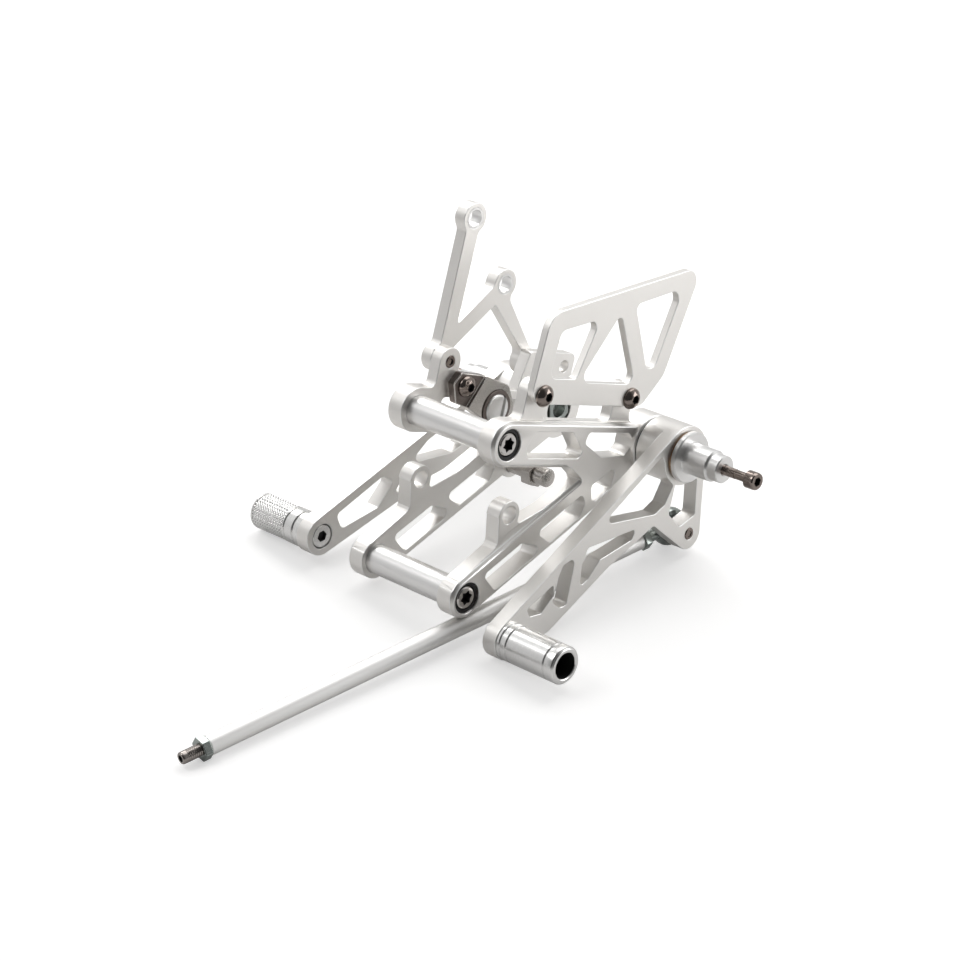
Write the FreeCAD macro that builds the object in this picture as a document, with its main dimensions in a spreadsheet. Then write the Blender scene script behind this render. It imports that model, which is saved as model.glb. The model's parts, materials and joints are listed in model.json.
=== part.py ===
"""Pair of rear-set footrest brackets for a motorbike, bolted together by two cross tubes.

Axes while the pieces are drawn: origin on the pivot line midway between the two plates, X forward,
Y to the left-hand side, Z square to the top bar.  The finished set is then leaned over so that the
left toe peg, the left lever tail and the right toe peg stand on the floor plane Z = 0.
"""
import math
import os

import FreeCAD
import Part
import Sketcher

V = FreeCAD.Vector
doc = FreeCAD.newDocument("rear_sets")

# Driving sizes.
SIZES = {
    # side plates
    "plate_gap": 50.0,
    "plate_thickness": 10.0,
    "hub_radius": 14.65,
    "hub_stand": 2.9,
    "hub_bore": 6.05,
    "hub_recess_radius": 8.3,
    "hub_recess_depth": 5.5,
    "upper_boss_x": 99.3,
    "upper_boss_z": -1.8,
    "upper_boss_radius": 10.8,
    "lower_boss_x": 105.8,
    "lower_boss_z": -74.0,
    "lower_boss_radius": 9.9,
    "boss_chamfer": 1.4,
    "tube_socket_depth": 1.5,
    "window_corner": 2.4,
    # tabs and ears of the plates
    "tab_z": 21.7,
    "front_tab_x": 84.0,
    "rear_tab_x": 22.5,
    "tab_radius": 6.8,
    "neck_sweep": 4.5,
    "tab_thickness": 6.5,
    "ear_x": 87.3,
    "ear_z": -35.3,
    "ear_radius": 6.6,
    "ear_bore": 4.3,
    "ear_thickness": 8.2,
    # cross tubes and their screws
    "tube_radius": 7.1,
    "tube_thread_radius": 4.0,
    "tube_screw_head_radius": 6.3,
    "tube_screw_head_height": 5.0,
    "tube_screw_length": 20.0,
    "counterbore_radius": 7.5,
    "counterbore_depth": 5.6,
    "chamfer_small": 0.6,
    # heel guard
    "guard_thickness": 4.0,
    "guard_foot": 4.1,
    "guard_height": 69.5,
    "m_six_radius": 3.0,
    "thread_core_radius": 2.5,
    "button_radius": 5.25,
    "button_height": 3.3,
    "hex_key_four": 2.3,
    # shift lever
    "lever_boss_width": 18.6,
    "lever_gap": 0.35,
    "seal_thickness": 0.6,
    "lever_thickness": 8.0,
    "toe_x": 97.0,
    "toe_z": -87.2,
    "toe_radius": 9.4,
    "tail_x": -16.1,
    "tail_z": -38.8,
    "tail_radius": 7.9,
    "bush_wall": 2.0,
    "bush_collar": 0.7,
    "peg_radius": 9.05,
    "peg_length": 35.0,
    "peg_bore": 6.2,
    "peg_bore_depth": 22.0,
    "peg_groove": 0.6,
    # footpeg spindles
    "shank_radius": 6.0,
    "flange_radius": 12.4,
    "flange_thickness": 3.0,
    "barrel_radius": 7.6,
    "barrel_length": 14.0,
    "neck_radius": 6.6,
    "neck_length": 6.0,
    "peg_bolt_radius": 2.5,
    "peg_bolt_stand": 14.5,
    "peg_bolt_head_radius": 4.25,
    "peg_bolt_head_height": 5.3,
    "spindle_nut_across": 13.0,
    "spindle_thread_radius": 4.0,
    # rod end and shift rod
    "ball_radius": 6.3,
    "ball_width": 9.6,
    "eye_radius": 9.5,
    "eye_width": 6.8,
    "rod_radius": 4.6,
    "rod_start": 19.0,
    "rod_length": 249.0,
    "rod_nut_across": 10.0,
    "rod_nut_width": 4.0,
    "stud_radius": 2.95,
    "stud_stand": 9.5,
    "rod_yaw": -6.2,
    # brake lever
    "brake_boss_width": 26.4,
    "brake_toe_x": 111.8,
    "brake_toe_z": -73.0,
    "brake_toe_radius": 9.6,
    "brake_peg_radius": 9.0,
    "brake_peg_length": 35.0,
    # master cylinder bracket
    "arm_thickness": 6.5,
    "front_eye_x": 80.3,
    "front_eye_z": 89.1,
    "rear_eye_x": 50.3,
    "rear_eye_z": 59.1,
    "eye_outer": 6.7,
    "eye_bore": 5.0,
    "eye_bush_bore": 4.1,
    "spare_hole_x": 3.4,
    # fittings on the right plate
    "clamp_plate_thickness": 4.4,
    "clamp_screw_x": 74.7,
    "clamp_screw_z": 11.3,
    "clamp_seat_height": 6.0,
    "clamp_ring_x": 52.6,
    "clamp_ring_z": 1.2,
    "clamp_ring_radius": 9.2,
    "barrel_pin_radius": 7.2,
    "stop_screw_x": 26.0,
    "stop_screw_z": -28.0,
    "stop_screw_radius": 4.0,
    "stop_screw_reach": 25.0,
    "running_fit": 0.05,
    "thread_gap": 0.03,
}

sheet = doc.addObject("Spreadsheet::Sheet", "sizes")
for row, (alias, value) in enumerate(SIZES.items(), start=1):
    sheet.set(f"A{row}", alias)
    sheet.set(f"B{row}", str(value))
    sheet.setAlias(f"B{row}", alias)
doc.recompute()


def size(alias):
    """Present value of one named size of the sheet."""
    return float(getattr(sheet, alias))


def bound(expression):
    """Write the sheet's name in front of every size named in an expression."""
    words = []
    for word in expression.split():
        words.append("sizes." + word if word in SIZES else word)
    return " ".join(words)


def worth(expression):
    """Value of an expression of sizes, plus, minus, times and divided by."""
    total = 0.0
    sign = 1.0
    product = None
    divide = False
    for word in expression.split():
        if word in ("+", "-"):
            if product is not None:
                total += sign * product
            sign = 1.0 if word == "+" else -1.0
            product = None
        elif word == "*":
            divide = False
        elif word == "/":
            divide = True
        else:
            number = size(word) if word in SIZES else float(word)
            if product is None:
                product = number
            elif divide:
                product /= number
            else:
                product *= number
            divide = False
    return total + sign * product


# Levels across the set, measured along Y.
LEFT_INNER = "plate_gap / 2"
LEFT_OUTER = "plate_gap / 2 + plate_thickness"
LEFT_HUB = LEFT_OUTER + " + hub_stand"
LEVER_INNER = LEFT_HUB + " + seal_thickness + lever_gap"
LEVER_OUTER = LEVER_INNER + " + lever_boss_width"
LEVER_ARM = LEVER_OUTER + " - lever_thickness"
BRAKE_INNER = "0 - plate_gap / 2 - plate_thickness - hub_stand - seal_thickness - lever_gap"
BRAKE_OUTER = BRAKE_INNER + " - brake_boss_width"
RIGHT_INNER = "0 - plate_gap / 2"
RIGHT_OUTER = "0 - plate_gap / 2 - plate_thickness"
RIGHT_TAB = "0 - plate_gap / 2 - tab_thickness"


# Drawing helpers.
def new_body(label):
    body = doc.addObject("PartDesign::Body", label)
    body.Label = label
    return body


def origin_plane(body, role):
    for feature in body.Origin.OriginFeatures:
        if feature.Role == role:
            return feature
    raise ValueError(role)


def side_sketch(body, name, level):
    """Sketch facing right, lying at one level along Y; its axes are X and Z."""
    sketch = body.newObject("Sketcher::SketchObject", name)
    sketch.AttachmentSupport = [(origin_plane(body, "XZ_Plane"), "")]
    sketch.MapMode = "FlatFace"
    sketch.AttachmentOffset = FreeCAD.Placement(V(0, 0, -worth(level)), FreeCAD.Rotation())
    sketch.setExpression("AttachmentOffset.Base.z", "0 - ( " + bound(level) + " )")
    return sketch


def draw_circle(sketch, spot, radius):
    """Circle whose centre and radius follow the sheet; spot is a pair of expressions."""
    centre = V(worth(spot[0]), worth(spot[1]), 0)
    index = sketch.addGeometry(Part.Circle(centre, V(0, 0, 1), worth(radius)), False)
    number = sketch.addConstraint(Sketcher.Constraint("Radius", index, worth(radius)))
    sketch.setExpression(f"Constraints[{number}]", bound(radius))
    if spot == HUB:
        sketch.addConstraint(Sketcher.Constraint("Coincident", index, 3, -1, 1))
        return
    for kind, value in (("DistanceX", spot[0]), ("DistanceY", spot[1])):
        number = sketch.addConstraint(Sketcher.Constraint(kind, -1, 1, index, 3, worth(value)))
        sketch.setExpression(f"Constraints[{number}]", bound(value))


def draw_outline(sketch, corners):
    """Closed outline through corners (x, z, radius); a radius turns the corner into an arc."""
    trimmed = []
    count = len(corners)
    for i, (x, z, radius) in enumerate(corners):
        here = V(x, z, 0)
        back = V(corners[i - 1][0], corners[i - 1][1], 0) - here
        ahead = V(corners[(i + 1) % count][0], corners[(i + 1) % count][1], 0) - here
        if radius <= 0:
            trimmed.append((here, None, here))
            continue
        half = back.getAngle(ahead) / 2
        reach = min(radius / math.tan(half), 0.47 * back.Length, 0.47 * ahead.Length)
        radius = reach * math.tan(half)
        back.normalize()
        ahead.normalize()
        middle = back + ahead
        middle.normalize()
        crown = here + middle * (radius / math.sin(half) - radius)
        trimmed.append((here + back * reach, crown, here + ahead * reach))
    for i, (start, crown, end) in enumerate(trimmed):
        if crown is not None:
            sketch.addGeometry(Part.Arc(start, crown, end), False)
        sketch.addGeometry(Part.LineSegment(end, trimmed[(i + 1) % count][0]), False)


def grow(body, sketch, depth):
    """Pad a sketch towards the right-hand side."""
    pad = body.newObject("PartDesign::Pad", sketch.Name + "_pad")
    pad.Profile = sketch
    pad.Length = worth(depth)
    pad.setExpression("Length", bound(depth))
    sketch.Visibility = False
    return pad


def plate(body, name, corners, level, depth):
    sketch = side_sketch(body, body.Name + "_" + name, level)
    draw_outline(sketch, corners)
    return grow(body, sketch, depth)


def disc(body, name, spot, radius, level, depth):
    sketch = side_sketch(body, body.Name + "_" + name, level)
    draw_circle(sketch, spot, radius)
    return grow(body, sketch, depth)


def windows(body, name, outlines, level):
    """Openings milled right through a plate."""
    sketch = side_sketch(body, body.Name + "_" + name, level)
    for corners in outlines:
        draw_outline(sketch, corners)
    pocket = body.newObject("PartDesign::Pocket", sketch.Name + "_cut")
    pocket.Profile = sketch
    pocket.Type = "ThroughAll"
    pocket.Midplane = True
    sketch.Visibility = False
    return pocket


def bore(body, name, spot, radius, level, depth, towards_left=False):
    """Round hole sunk from one level towards the right (or the left)."""
    sketch = side_sketch(body, body.Name + "_" + name, level)
    draw_circle(sketch, spot, radius)
    pocket = body.newObject("PartDesign::Pocket", sketch.Name + "_cut")
    pocket.Profile = sketch
    pocket.Length = worth(depth)
    pocket.setExpression("Length", bound(depth))
    pocket.Reversed = not towards_left
    sketch.Visibility = False
    return pocket


def through_hole(body, name, spots, radius, level):
    sketch = side_sketch(body, body.Name + "_" + name, level)
    for spot in spots:
        draw_circle(sketch, spot, radius)
    pocket = body.newObject("PartDesign::Pocket", sketch.Name + "_cut")
    pocket.Profile = sketch
    pocket.Type = "ThroughAll"
    pocket.Midplane = True
    sketch.Visibility = False
    return pocket


def rim_edges(body, rims):
    """Names of the round edges that lie at (spot, radius, level)."""
    names = []
    for number, edge in enumerate(body.Tip.Shape.Edges, start=1):
        if not isinstance(edge.Curve, Part.Circle):
            continue
        centre = edge.Curve.Center
        for spot, radius, level in rims:
            near = abs(edge.Curve.Radius - worth(radius)) < 0.01
            near = near and abs(centre.x - worth(spot[0])) < 0.01
            near = near and abs(centre.z - worth(spot[1])) < 0.01
            if near and abs(centre.y - worth(level)) < 0.01:
                names.append(f"Edge{number}")
    return names


def chamfer(body, name, rims, width):
    doc.recompute()
    edges = rim_edges(body, rims)
    if not edges:
        raise ValueError("no rim found for " + name)
    last = body.Tip
    cut = body.newObject("PartDesign::Chamfer", body.Name + "_" + name)
    cut.Base = (last, edges)
    cut.Size = worth(width)
    cut.setExpression("Size", bound(width))
    body.Tip = cut
    return cut


def bar_frame(start, end):
    """Give points by their share of the way from start to end and their height over that line."""
    first = V(worth(start[0]), worth(start[1]), 0)
    last = V(worth(end[0]), worth(end[1]), 0)
    along = last - first
    across = V(-along.y, along.x, 0)
    across.normalize()

    def point(share, height, radius=0.0):
        spot = first + along * share + across * height
        return (spot.x, spot.y, radius)
    return point


def tangent(first, first_radius, last, last_radius, side):
    """Ends of the outer line that touches two circles; side is +1 above and -1 below."""
    start = V(first[0], first[1], 0)
    end = V(last[0], last[1], 0)
    along = end - start
    tilt = math.asin((first_radius - last_radius) / along.Length)
    base = math.atan2(along.y, along.x)
    turn = base + side * (math.pi / 2 - tilt)
    lean = V(math.cos(turn), math.sin(turn), 0)
    touch_first = start + lean * first_radius
    touch_last = end + lean * last_radius
    return (touch_first.x, touch_first.y, 0), (touch_last.x, touch_last.y, 0)


def at(spot):
    """Coordinates of a spot given by two expressions."""
    return (worth(spot[0]), worth(spot[1]))


HUB = ("0", "0")
UPPER = ("upper_boss_x", "upper_boss_z")
LOWER = ("lower_boss_x", "lower_boss_z")
UPPER_ROOT = ("0", "upper_boss_z")
FRONT_TAB = ("front_tab_x", "tab_z")
REAR_TAB = ("rear_tab_x", "tab_z")
EAR = ("ear_x", "ear_z")
TOE = ("toe_x", "toe_z")
TAIL = ("tail_x", "tail_z")
BRAKE_TOE = ("brake_toe_x", "brake_toe_z")
FRONT_EYE = ("front_eye_x", "front_eye_z")
REAR_EYE = ("rear_eye_x", "rear_eye_z")
SPARE_HOLE = ("spare_hole_x", "tab_z")
CLAMP_SCREW = ("clamp_screw_x", "clamp_screw_z")
CLAMP_RING = ("clamp_ring_x", "clamp_ring_z")
STOP_SCREW = ("stop_screw_x", "stop_screw_z")


# Side plates.
def side_plate(label, outer_is_left):
    """Truss plate: a level top bar and a falling lower bar that meet at the pivot hub."""
    body = new_body(label)
    top = LEFT_OUTER if outer_is_left else RIGHT_INNER
    inner = LEFT_INNER if outer_is_left else RIGHT_INNER
    outer = LEFT_OUTER if outer_is_left else RIGHT_OUTER
    corner = size("window_corner")
    upper = bar_frame(UPPER_ROOT, UPPER)
    lower = bar_frame(HUB, LOWER)
    half_upper = size("upper_boss_radius")
    half_lower = size("lower_boss_radius")

    plate(body, "upper_bar", [upper(0, half_upper), upper(1, half_upper), upper(1, -half_upper),
                              upper(0, -half_upper)], top, "plate_thickness")
    plate(body, "lower_bar", [lower(0, half_lower), lower(1, half_lower), lower(1, -half_lower),
                              lower(0, -half_lower)], top, "plate_thickness")
    plate(body, "web", [upper(0.15, 0), upper(0.6, -0.8 * half_upper),
                        upper(0.53, -half_upper - 0.2, 3.0), upper(0.442, -16.4, 2.0),
                        upper(0.442, -19.0, 2.0), lower(0.42, 0.8 * half_lower), lower(0.15, 0)],
          top, "plate_thickness")
    disc(body, "upper_boss", UPPER, "upper_boss_radius", top, "plate_thickness")
    disc(body, "lower_boss", LOWER, "lower_boss_radius", top, "plate_thickness")

    # Tabs for the guard or the cylinder bracket stand on the top bar, set back from the outer face.
    tab_top = LEFT_INNER + " + tab_thickness" if outer_is_left else RIGHT_INNER
    top_edge = size("upper_boss_z") + half_upper
    reach = size("tab_radius")
    sweep = size("neck_sweep")
    for name, tab in (("front", FRONT_TAB), ("rear", REAR_TAB)):
        x, z = at(tab)
        neck = [(x - reach, z, 0), (x + reach, z, 0), (x + reach, top_edge, sweep),
                (x + reach + sweep + 3.0, top_edge, 0), (x + reach + sweep, top_edge - 3.0, 0),
                (x - reach - sweep, top_edge - 3.0, 0), (x - reach - sweep - 3.0, top_edge, 0),
                (x - reach, top_edge, sweep)]
        plate(body, name + "_neck", neck, tab_top, "tab_thickness")
        disc(body, name + "_tab", tab, "tab_radius", tab_top, "tab_thickness")
    # Ear that bolts to the frame of the motorbike.
    ear_top = LEFT_INNER + " + ear_thickness" if outer_is_left else RIGHT_INNER
    x, z = at(EAR)
    reach = size("ear_radius")
    ear = [lower(0.44, half_lower - 1.0), lower(0.55, half_lower + 0.4, 10.0),
           (x - reach, z - 4.5, 5.0), (x - reach, z, 0), (x + reach, z, 0),
           (x + reach + 5.2, z - 17.0, 12.0), (x + reach + 19.0, z - 29.0, 9.0),
           lower(1.0, half_lower - 0.4), lower(0.9, 0), lower(0.5, 0)]
    plate(body, "ear_neck", ear, ear_top, "ear_thickness")
    disc(body, "ear", EAR, "ear_radius", ear_top, "ear_thickness")
    if not outer_is_left:
        wide_tab(body, top_edge)
        x, z = at(CLAMP_SCREW)
        lug = [(x - 9.0, top_edge - 3.0, 0), (x - 6.0, z + 5.5, 3.0), (x + 6.0, z + 5.5, 0),
               (x + 9.0, top_edge - 3.0, 0)]
        plate(body, "clamp_lug", lug, RIGHT_INNER, "tab_thickness")
        disc(body, "stop_lug", STOP_SCREW, "tab_radius", RIGHT_INNER, "plate_thickness")

    # Milled windows leave thin rims along both bars.
    rim = half_upper - 4.4
    upper_windows = [
        [upper(0.84, rim, corner), upper(0.575, rim, corner), upper(0.48, -3.2, corner),
         upper(0.505, -rim + 0.3, corner), upper(0.862, -rim + 0.3, corner),
         upper(0.88, -1.5, corner)],
        [upper(0.462, rim, corner), upper(0.17, rim, corner), upper(0.128, 1.5, corner),
         upper(0.175, -rim + 1.6, corner), upper(0.34, -rim + 0.9, corner),
         upper(0.478, 1.0, corner)],
    ]
    lower_windows = [
        [lower(0.625, 2.9, corner), lower(0.375, 2.9, corner), lower(0.372, -3.0, corner),
         lower(0.415, -7.0, corner), lower(0.58, -7.0, corner)],
        [lower(0.905, 4.2, corner), lower(0.70, 4.0, corner), lower(0.632, -4.2, corner),
         lower(0.66, -7.4, corner), lower(0.875, -7.4, corner)],
        [lower(0.325, 3.2, corner), lower(0.185, 3.0, corner), lower(0.235, -5.8, corner),
         lower(0.345, -5.8, corner)],
    ]
    windows(body, "bar_windows", upper_windows + lower_windows, inner)

    # The hub stands proud outside; inside it takes the spindle nut.
    if outer_is_left:
        disc(body, "hub", HUB, "hub_radius", LEFT_HUB, "plate_thickness + hub_stand")
    else:
        disc(body, "hub", HUB, "hub_radius", RIGHT_INNER, "plate_thickness + hub_stand")
    through_hole(body, "hub_bore", [HUB], "hub_bore", inner)
    bore(body, "nut_recess", HUB, "hub_recess_radius", inner, "hub_recess_depth",
         towards_left=outer_is_left)

    # Screw seats of the cross tubes: counterbore outside, shallow socket inside.
    for name, boss in (("upper", UPPER), ("lower", LOWER)):
        bore(body, name + "_counterbore", boss, "counterbore_radius", outer, "counterbore_depth",
             towards_left=not outer_is_left)
        bore(body, name + "_socket", boss, "tube_radius + running_fit", inner, "tube_socket_depth",
             towards_left=outer_is_left)
    through_hole(body, "screw_holes", [UPPER, LOWER], "tube_thread_radius + running_fit", inner)
    through_hole(body, "ear_bore", [EAR], "ear_bore", inner)
    tab_holes = [FRONT_TAB, REAR_TAB]
    if not outer_is_left:
        tab_holes += [SPARE_HOLE, CLAMP_SCREW]
        through_hole(body, "stop_hole", [STOP_SCREW], "stop_screw_radius + running_fit", inner)
    through_hole(body, "tab_holes", tab_holes, "m_six_radius + running_fit", inner)
    chamfer(body, "boss_edges", [(UPPER, "upper_boss_radius", outer), (LOWER, "lower_boss_radius",
                                                                         outer)], "boss_chamfer")
    hub_face = LEFT_HUB if outer_is_left else RIGHT_OUTER + " - hub_stand"
    chamfer(body, "hub_edge", [(HUB, "hub_radius", hub_face)], "chamfer_small")
    return body


def wide_tab(body, top_edge):
    """The right plate's rear tab is broad, with a spare screw hole behind the first."""
    x = size("spare_hole_x")
    z = size("tab_z")
    reach = size("tab_radius")
    broad = [(x - reach, z + reach, 3.0), (size("rear_tab_x") + reach, z + reach, 3.0),
             (size("rear_tab_x") + reach + 5.0, top_edge - 2.0, 0), (x + 2.0, top_edge - 3.0, 0),
             (x - reach, z - reach, 3.0)]
    plate(body, "broad_tab", broad, RIGHT_INNER, "tab_thickness")


# Cross tubes.
def cross_tube(label, boss):
    """Turned tube between the plates, tapped at both ends, with its ends let into the plates."""
    body = new_body(label)
    end = "plate_gap / 2 + tube_socket_depth"
    disc(body, "barrel", boss, "tube_radius", end, "plate_gap + 2 * tube_socket_depth")
    bore(body, "left_thread", boss, "tube_thread_radius", end, "tube_screw_length")
    bore(body, "right_thread", boss, "tube_thread_radius", "0 - " + end.replace("+", "-"),
         "tube_screw_length", towards_left=True)
    return body


# Screws from primitives.
def primitive(kind, label, spot, level, outward, shift, **bindings):
    """One Part primitive along Y; outward is +1 for the left side and -1 for the right."""
    item = doc.addObject(kind, label)
    for name, expression in bindings.items():
        setattr(item, name, worth(expression))
        item.setExpression(name, bound(expression))
    turn = FreeCAD.Rotation(V(1, 0, 0), -90 * outward)
    y = worth(level) + outward * shift
    item.Placement = FreeCAD.Placement(V(worth(spot[0]), y, worth(spot[1])), turn)
    return item


def screw(label, spot, seat, outward, head_radius, head_height, shank_radius, shank_length,
          key_radius, domed=False):
    """Screw whose head stands outward from its seat and whose shank runs the other way."""
    if domed:
        head = primitive("Part::Cone", label + "_head", spot, seat, outward, 0,
                         Radius1=head_radius, Radius2=head_radius + " * 0.62", Height=head_height)
    else:
        head = primitive("Part::Cylinder", label + "_head", spot, seat, outward, 0,
                         Radius=head_radius, Height=head_height)
    shank = primitive("Part::Cylinder", label + "_shank", spot, seat, outward,
                      -worth(shank_length), Radius=shank_radius, Height=shank_length + " + 0.5")
    joined = doc.addObject("Part::Fuse", label + "_blank")
    joined.Base = head
    joined.Tool = shank
    key = primitive("Part::Prism", label + "_key", spot, seat, outward, 0.45 * worth(head_height),
                    Circumradius=key_radius, Height=head_height)
    key.Polygon = 6
    cut = doc.addObject("Part::Cut", label)
    cut.Base = joined
    cut.Tool = key
    cut.Label = label
    return cut


def group(label, members):
    """Fasteners of one kind kept as separate solids in one piece."""
    bundle = doc.addObject("Part::Compound", label)
    bundle.Links = members
    bundle.Label = label
    return bundle


def tube_screws(label, seat, outward):
    members = []
    for name, boss in (("upper", UPPER), ("lower", LOWER)):
        members.append(screw(label + "_" + name, boss, seat, outward, "tube_screw_head_radius",
                             "tube_screw_head_height", "tube_thread_radius - running_fit / 2",
                             "tube_screw_length - 2", "tube_screw_head_radius * 0.5"))
    return group(label, members)


def tab_screws(label, spots, seat, outward, length):
    members = []
    for number, spot in enumerate(spots, start=1):
        members.append(screw(f"{label}_{number}", spot, seat, outward, "button_radius",
                             "button_height", "m_six_radius", length, "hex_key_four",
                             domed=True))
    return group(label, members)


# Heel guard.
def heel_guard():
    """Flat cover above the hub with three windows, screwed to the two tabs of the left plate."""
    body = new_body("heel_guard")
    span = size("front_tab_x") - size("rear_tab_x")
    base = size("tab_z") - size("guard_foot")
    tall = size("guard_height")

    def point(across, up, radius):
        return (size("rear_tab_x") + across * span, base + up * tall, radius)
    level = LEFT_INNER + " + tab_thickness + guard_thickness"
    outline = [point(1.135, 0, 8.0), point(1.096, 0.602, 11.0), point(-0.515, 1.0, 6.5),
               point(-0.335, 0.228, 12.0), point(-0.14, 0, 8.0)]
    plate(body, "outline", outline, level, "guard_thickness")
    openings = [
        [point(0.975, 0.174, 4.0), point(0.952, 0.494, 4.5), point(0.545, 0.588, 3.5),
         point(0.678, 0.177, 2.6)],
        [point(-0.015, 0.156, 4.0), point(0.642, 0.156, 4.0), point(0.322, 0.64, 2.6)],
        [point(0.178, 0.7, 3.2), point(-0.34, 0.836, 4.5), point(-0.175, 0.168, 4.2)],
    ]
    windows(body, "openings", openings, level)
    through_hole(body, "screw_holes", [FRONT_TAB, REAR_TAB], "m_six_radius + running_fit", level)
    return body


# Shift lever.
def shift_lever():
    """Milled truss lever: pivot boss, arm to the toe peg and a short tail for the rod end."""
    body = new_body("shift_lever")
    corner = size("window_corner")
    arm = bar_frame(HUB, TOE)
    hub = (0.0, 0.0)
    toe = at(TOE)
    tail = at(TAIL)
    belly = arm(0.833, -14.8, 5.0)
    elbow = arm(0.5, -14.4, 8.0)
    crotch = arm(0.245, -17.6, 2.5)
    hub_top, toe_top = tangent(hub, size("hub_radius"), toe, size("toe_radius"), 1)
    toe_low = tangent(toe, size("toe_radius"), belly[:2], 0.01, 1)[0]
    tail_low = tangent(tail, size("tail_radius"), crotch[:2], 0.01, -1)[0]
    tail_back, hub_back = tangent(tail, size("tail_radius"), hub, size("hub_radius"), 1)
    outline = [hub_top, toe_top, (toe[0], toe[1], 0), toe_low, belly, elbow, crotch, tail_low,
               (tail[0], tail[1], 0), tail_back, hub_back]
    plate(body, "arm", outline, LEVER_OUTER, "lever_thickness")
    disc(body, "toe_boss", TOE, "toe_radius", LEVER_OUTER, "lever_thickness")
    disc(body, "tail_lobe", TAIL, "tail_radius", LEVER_OUTER, "lever_thickness")
    openings = [
        [arm(0.455, 8.4, corner), arm(0.10, 11.2, 1.0), arm(0.10, -8.0, 1.0),
         arm(0.165, -13.0, corner), arm(0.222, -12.6, corner)],
        [arm(0.645, -9.3, corner), arm(0.60, -0.5, corner), arm(0.548, 4.6, corner),
         arm(0.322, -10.2, corner), arm(0.36, -13.0, corner), arm(0.52, -6.6, 4.0),
         arm(0.60, -9.8, corner)],
        [arm(0.672, 8.7, corner), arm(0.612, 6.4, corner), arm(0.725, -11.2, corner),
         arm(0.758, -9.0, corner), arm(0.775, -3.0, corner), arm(0.72, 4.6, corner)],
        [(89.6, -72.6, 1.2), (74.9, -61.4, 1.2), (73.0, -66.0, corner), (79.4, -75.0, 1.5),
         (87.0, -76.2, 1.2)],
        [(2.7, -13.6, 1.0), (2.7, -29.0, corner), (-7.6, -35.2, corner), (-17.2, -29.2, corner),
         (-12.6, -10.5, corner)],
    ]
    windows(body, "openings", openings, LEVER_OUTER)
    disc(body, "pivot_boss", HUB, "hub_radius", LEVER_OUTER, "lever_boss_width")
    through_hole(body, "pivot_bore", [HUB], "shank_radius + bush_wall", LEVER_OUTER)
    through_hole(body, "small_bores", [TOE, TAIL], "m_six_radius", LEVER_OUTER)
    return body


def pivot_bush(label, inner, outer, outward):
    """Plain bearing pressed into a lever, with a thin collar under the spindle flange."""
    body = new_body(label)
    if outward > 0:
        disc(body, "sleeve", HUB, "shank_radius + bush_wall", outer, "lever_boss_width")
        disc(body, "collar", HUB, "flange_radius - 1", outer + " + bush_collar", "bush_collar")
    else:
        disc(body, "sleeve", HUB, "shank_radius + bush_wall", inner, "brake_boss_width")
        disc(body, "collar", HUB, "flange_radius - 1", outer, "bush_collar")
    through_hole(body, "bore", [HUB], "shank_radius + running_fit", inner)
    return body


def hub_seal(label, level):
    """Dark ring that closes the joint between plate hub and lever."""
    body = new_body(label)
    disc(body, "ring", HUB, "hub_radius - 1.1", level, "seal_thickness")
    through_hole(body, "bore", [HUB], "shank_radius + running_fit", level)
    return body


def shift_peg():
    """Smooth toe peg with a groove near each end and an open bore in its outer face."""
    body = new_body("shift_toe_peg")
    outer = LEVER_OUTER + " + peg_length"
    disc(body, "barrel", TOE, "peg_radius", outer, "peg_length")
    bore(body, "bore", TOE, "peg_bore", outer, "peg_bore_depth")
    through_hole(body, "screw_bore", [TOE], "m_six_radius + running_fit", outer)
    for name, inset in (("root", "peg_length - 1.6"), ("inner", "peg_length - 5.4"),
                        ("outer", "6.2")):
        groove(body, name + "_groove", TOE, "peg_radius", outer + " - " + inset, "1.2",
               "peg_groove")
    chamfer(body, "outer_edge", [(TOE, "peg_radius", outer)], "chamfer_small * 1.6")
    return body


def groove(body, name, spot, radius, level, width, depth):
    """Shallow ring cut into a round piece."""
    sketch = side_sketch(body, body.Name + "_" + name, level)
    draw_circle(sketch, spot, radius + " + 1")
    draw_circle(sketch, spot, radius + " - " + depth)
    pocket = body.newObject("PartDesign::Pocket", sketch.Name + "_cut")
    pocket.Profile = sketch
    pocket.Length = worth(width)
    pocket.setExpression("Length", bound(width))
    pocket.Reversed = True
    sketch.Visibility = False
    return pocket


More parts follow.
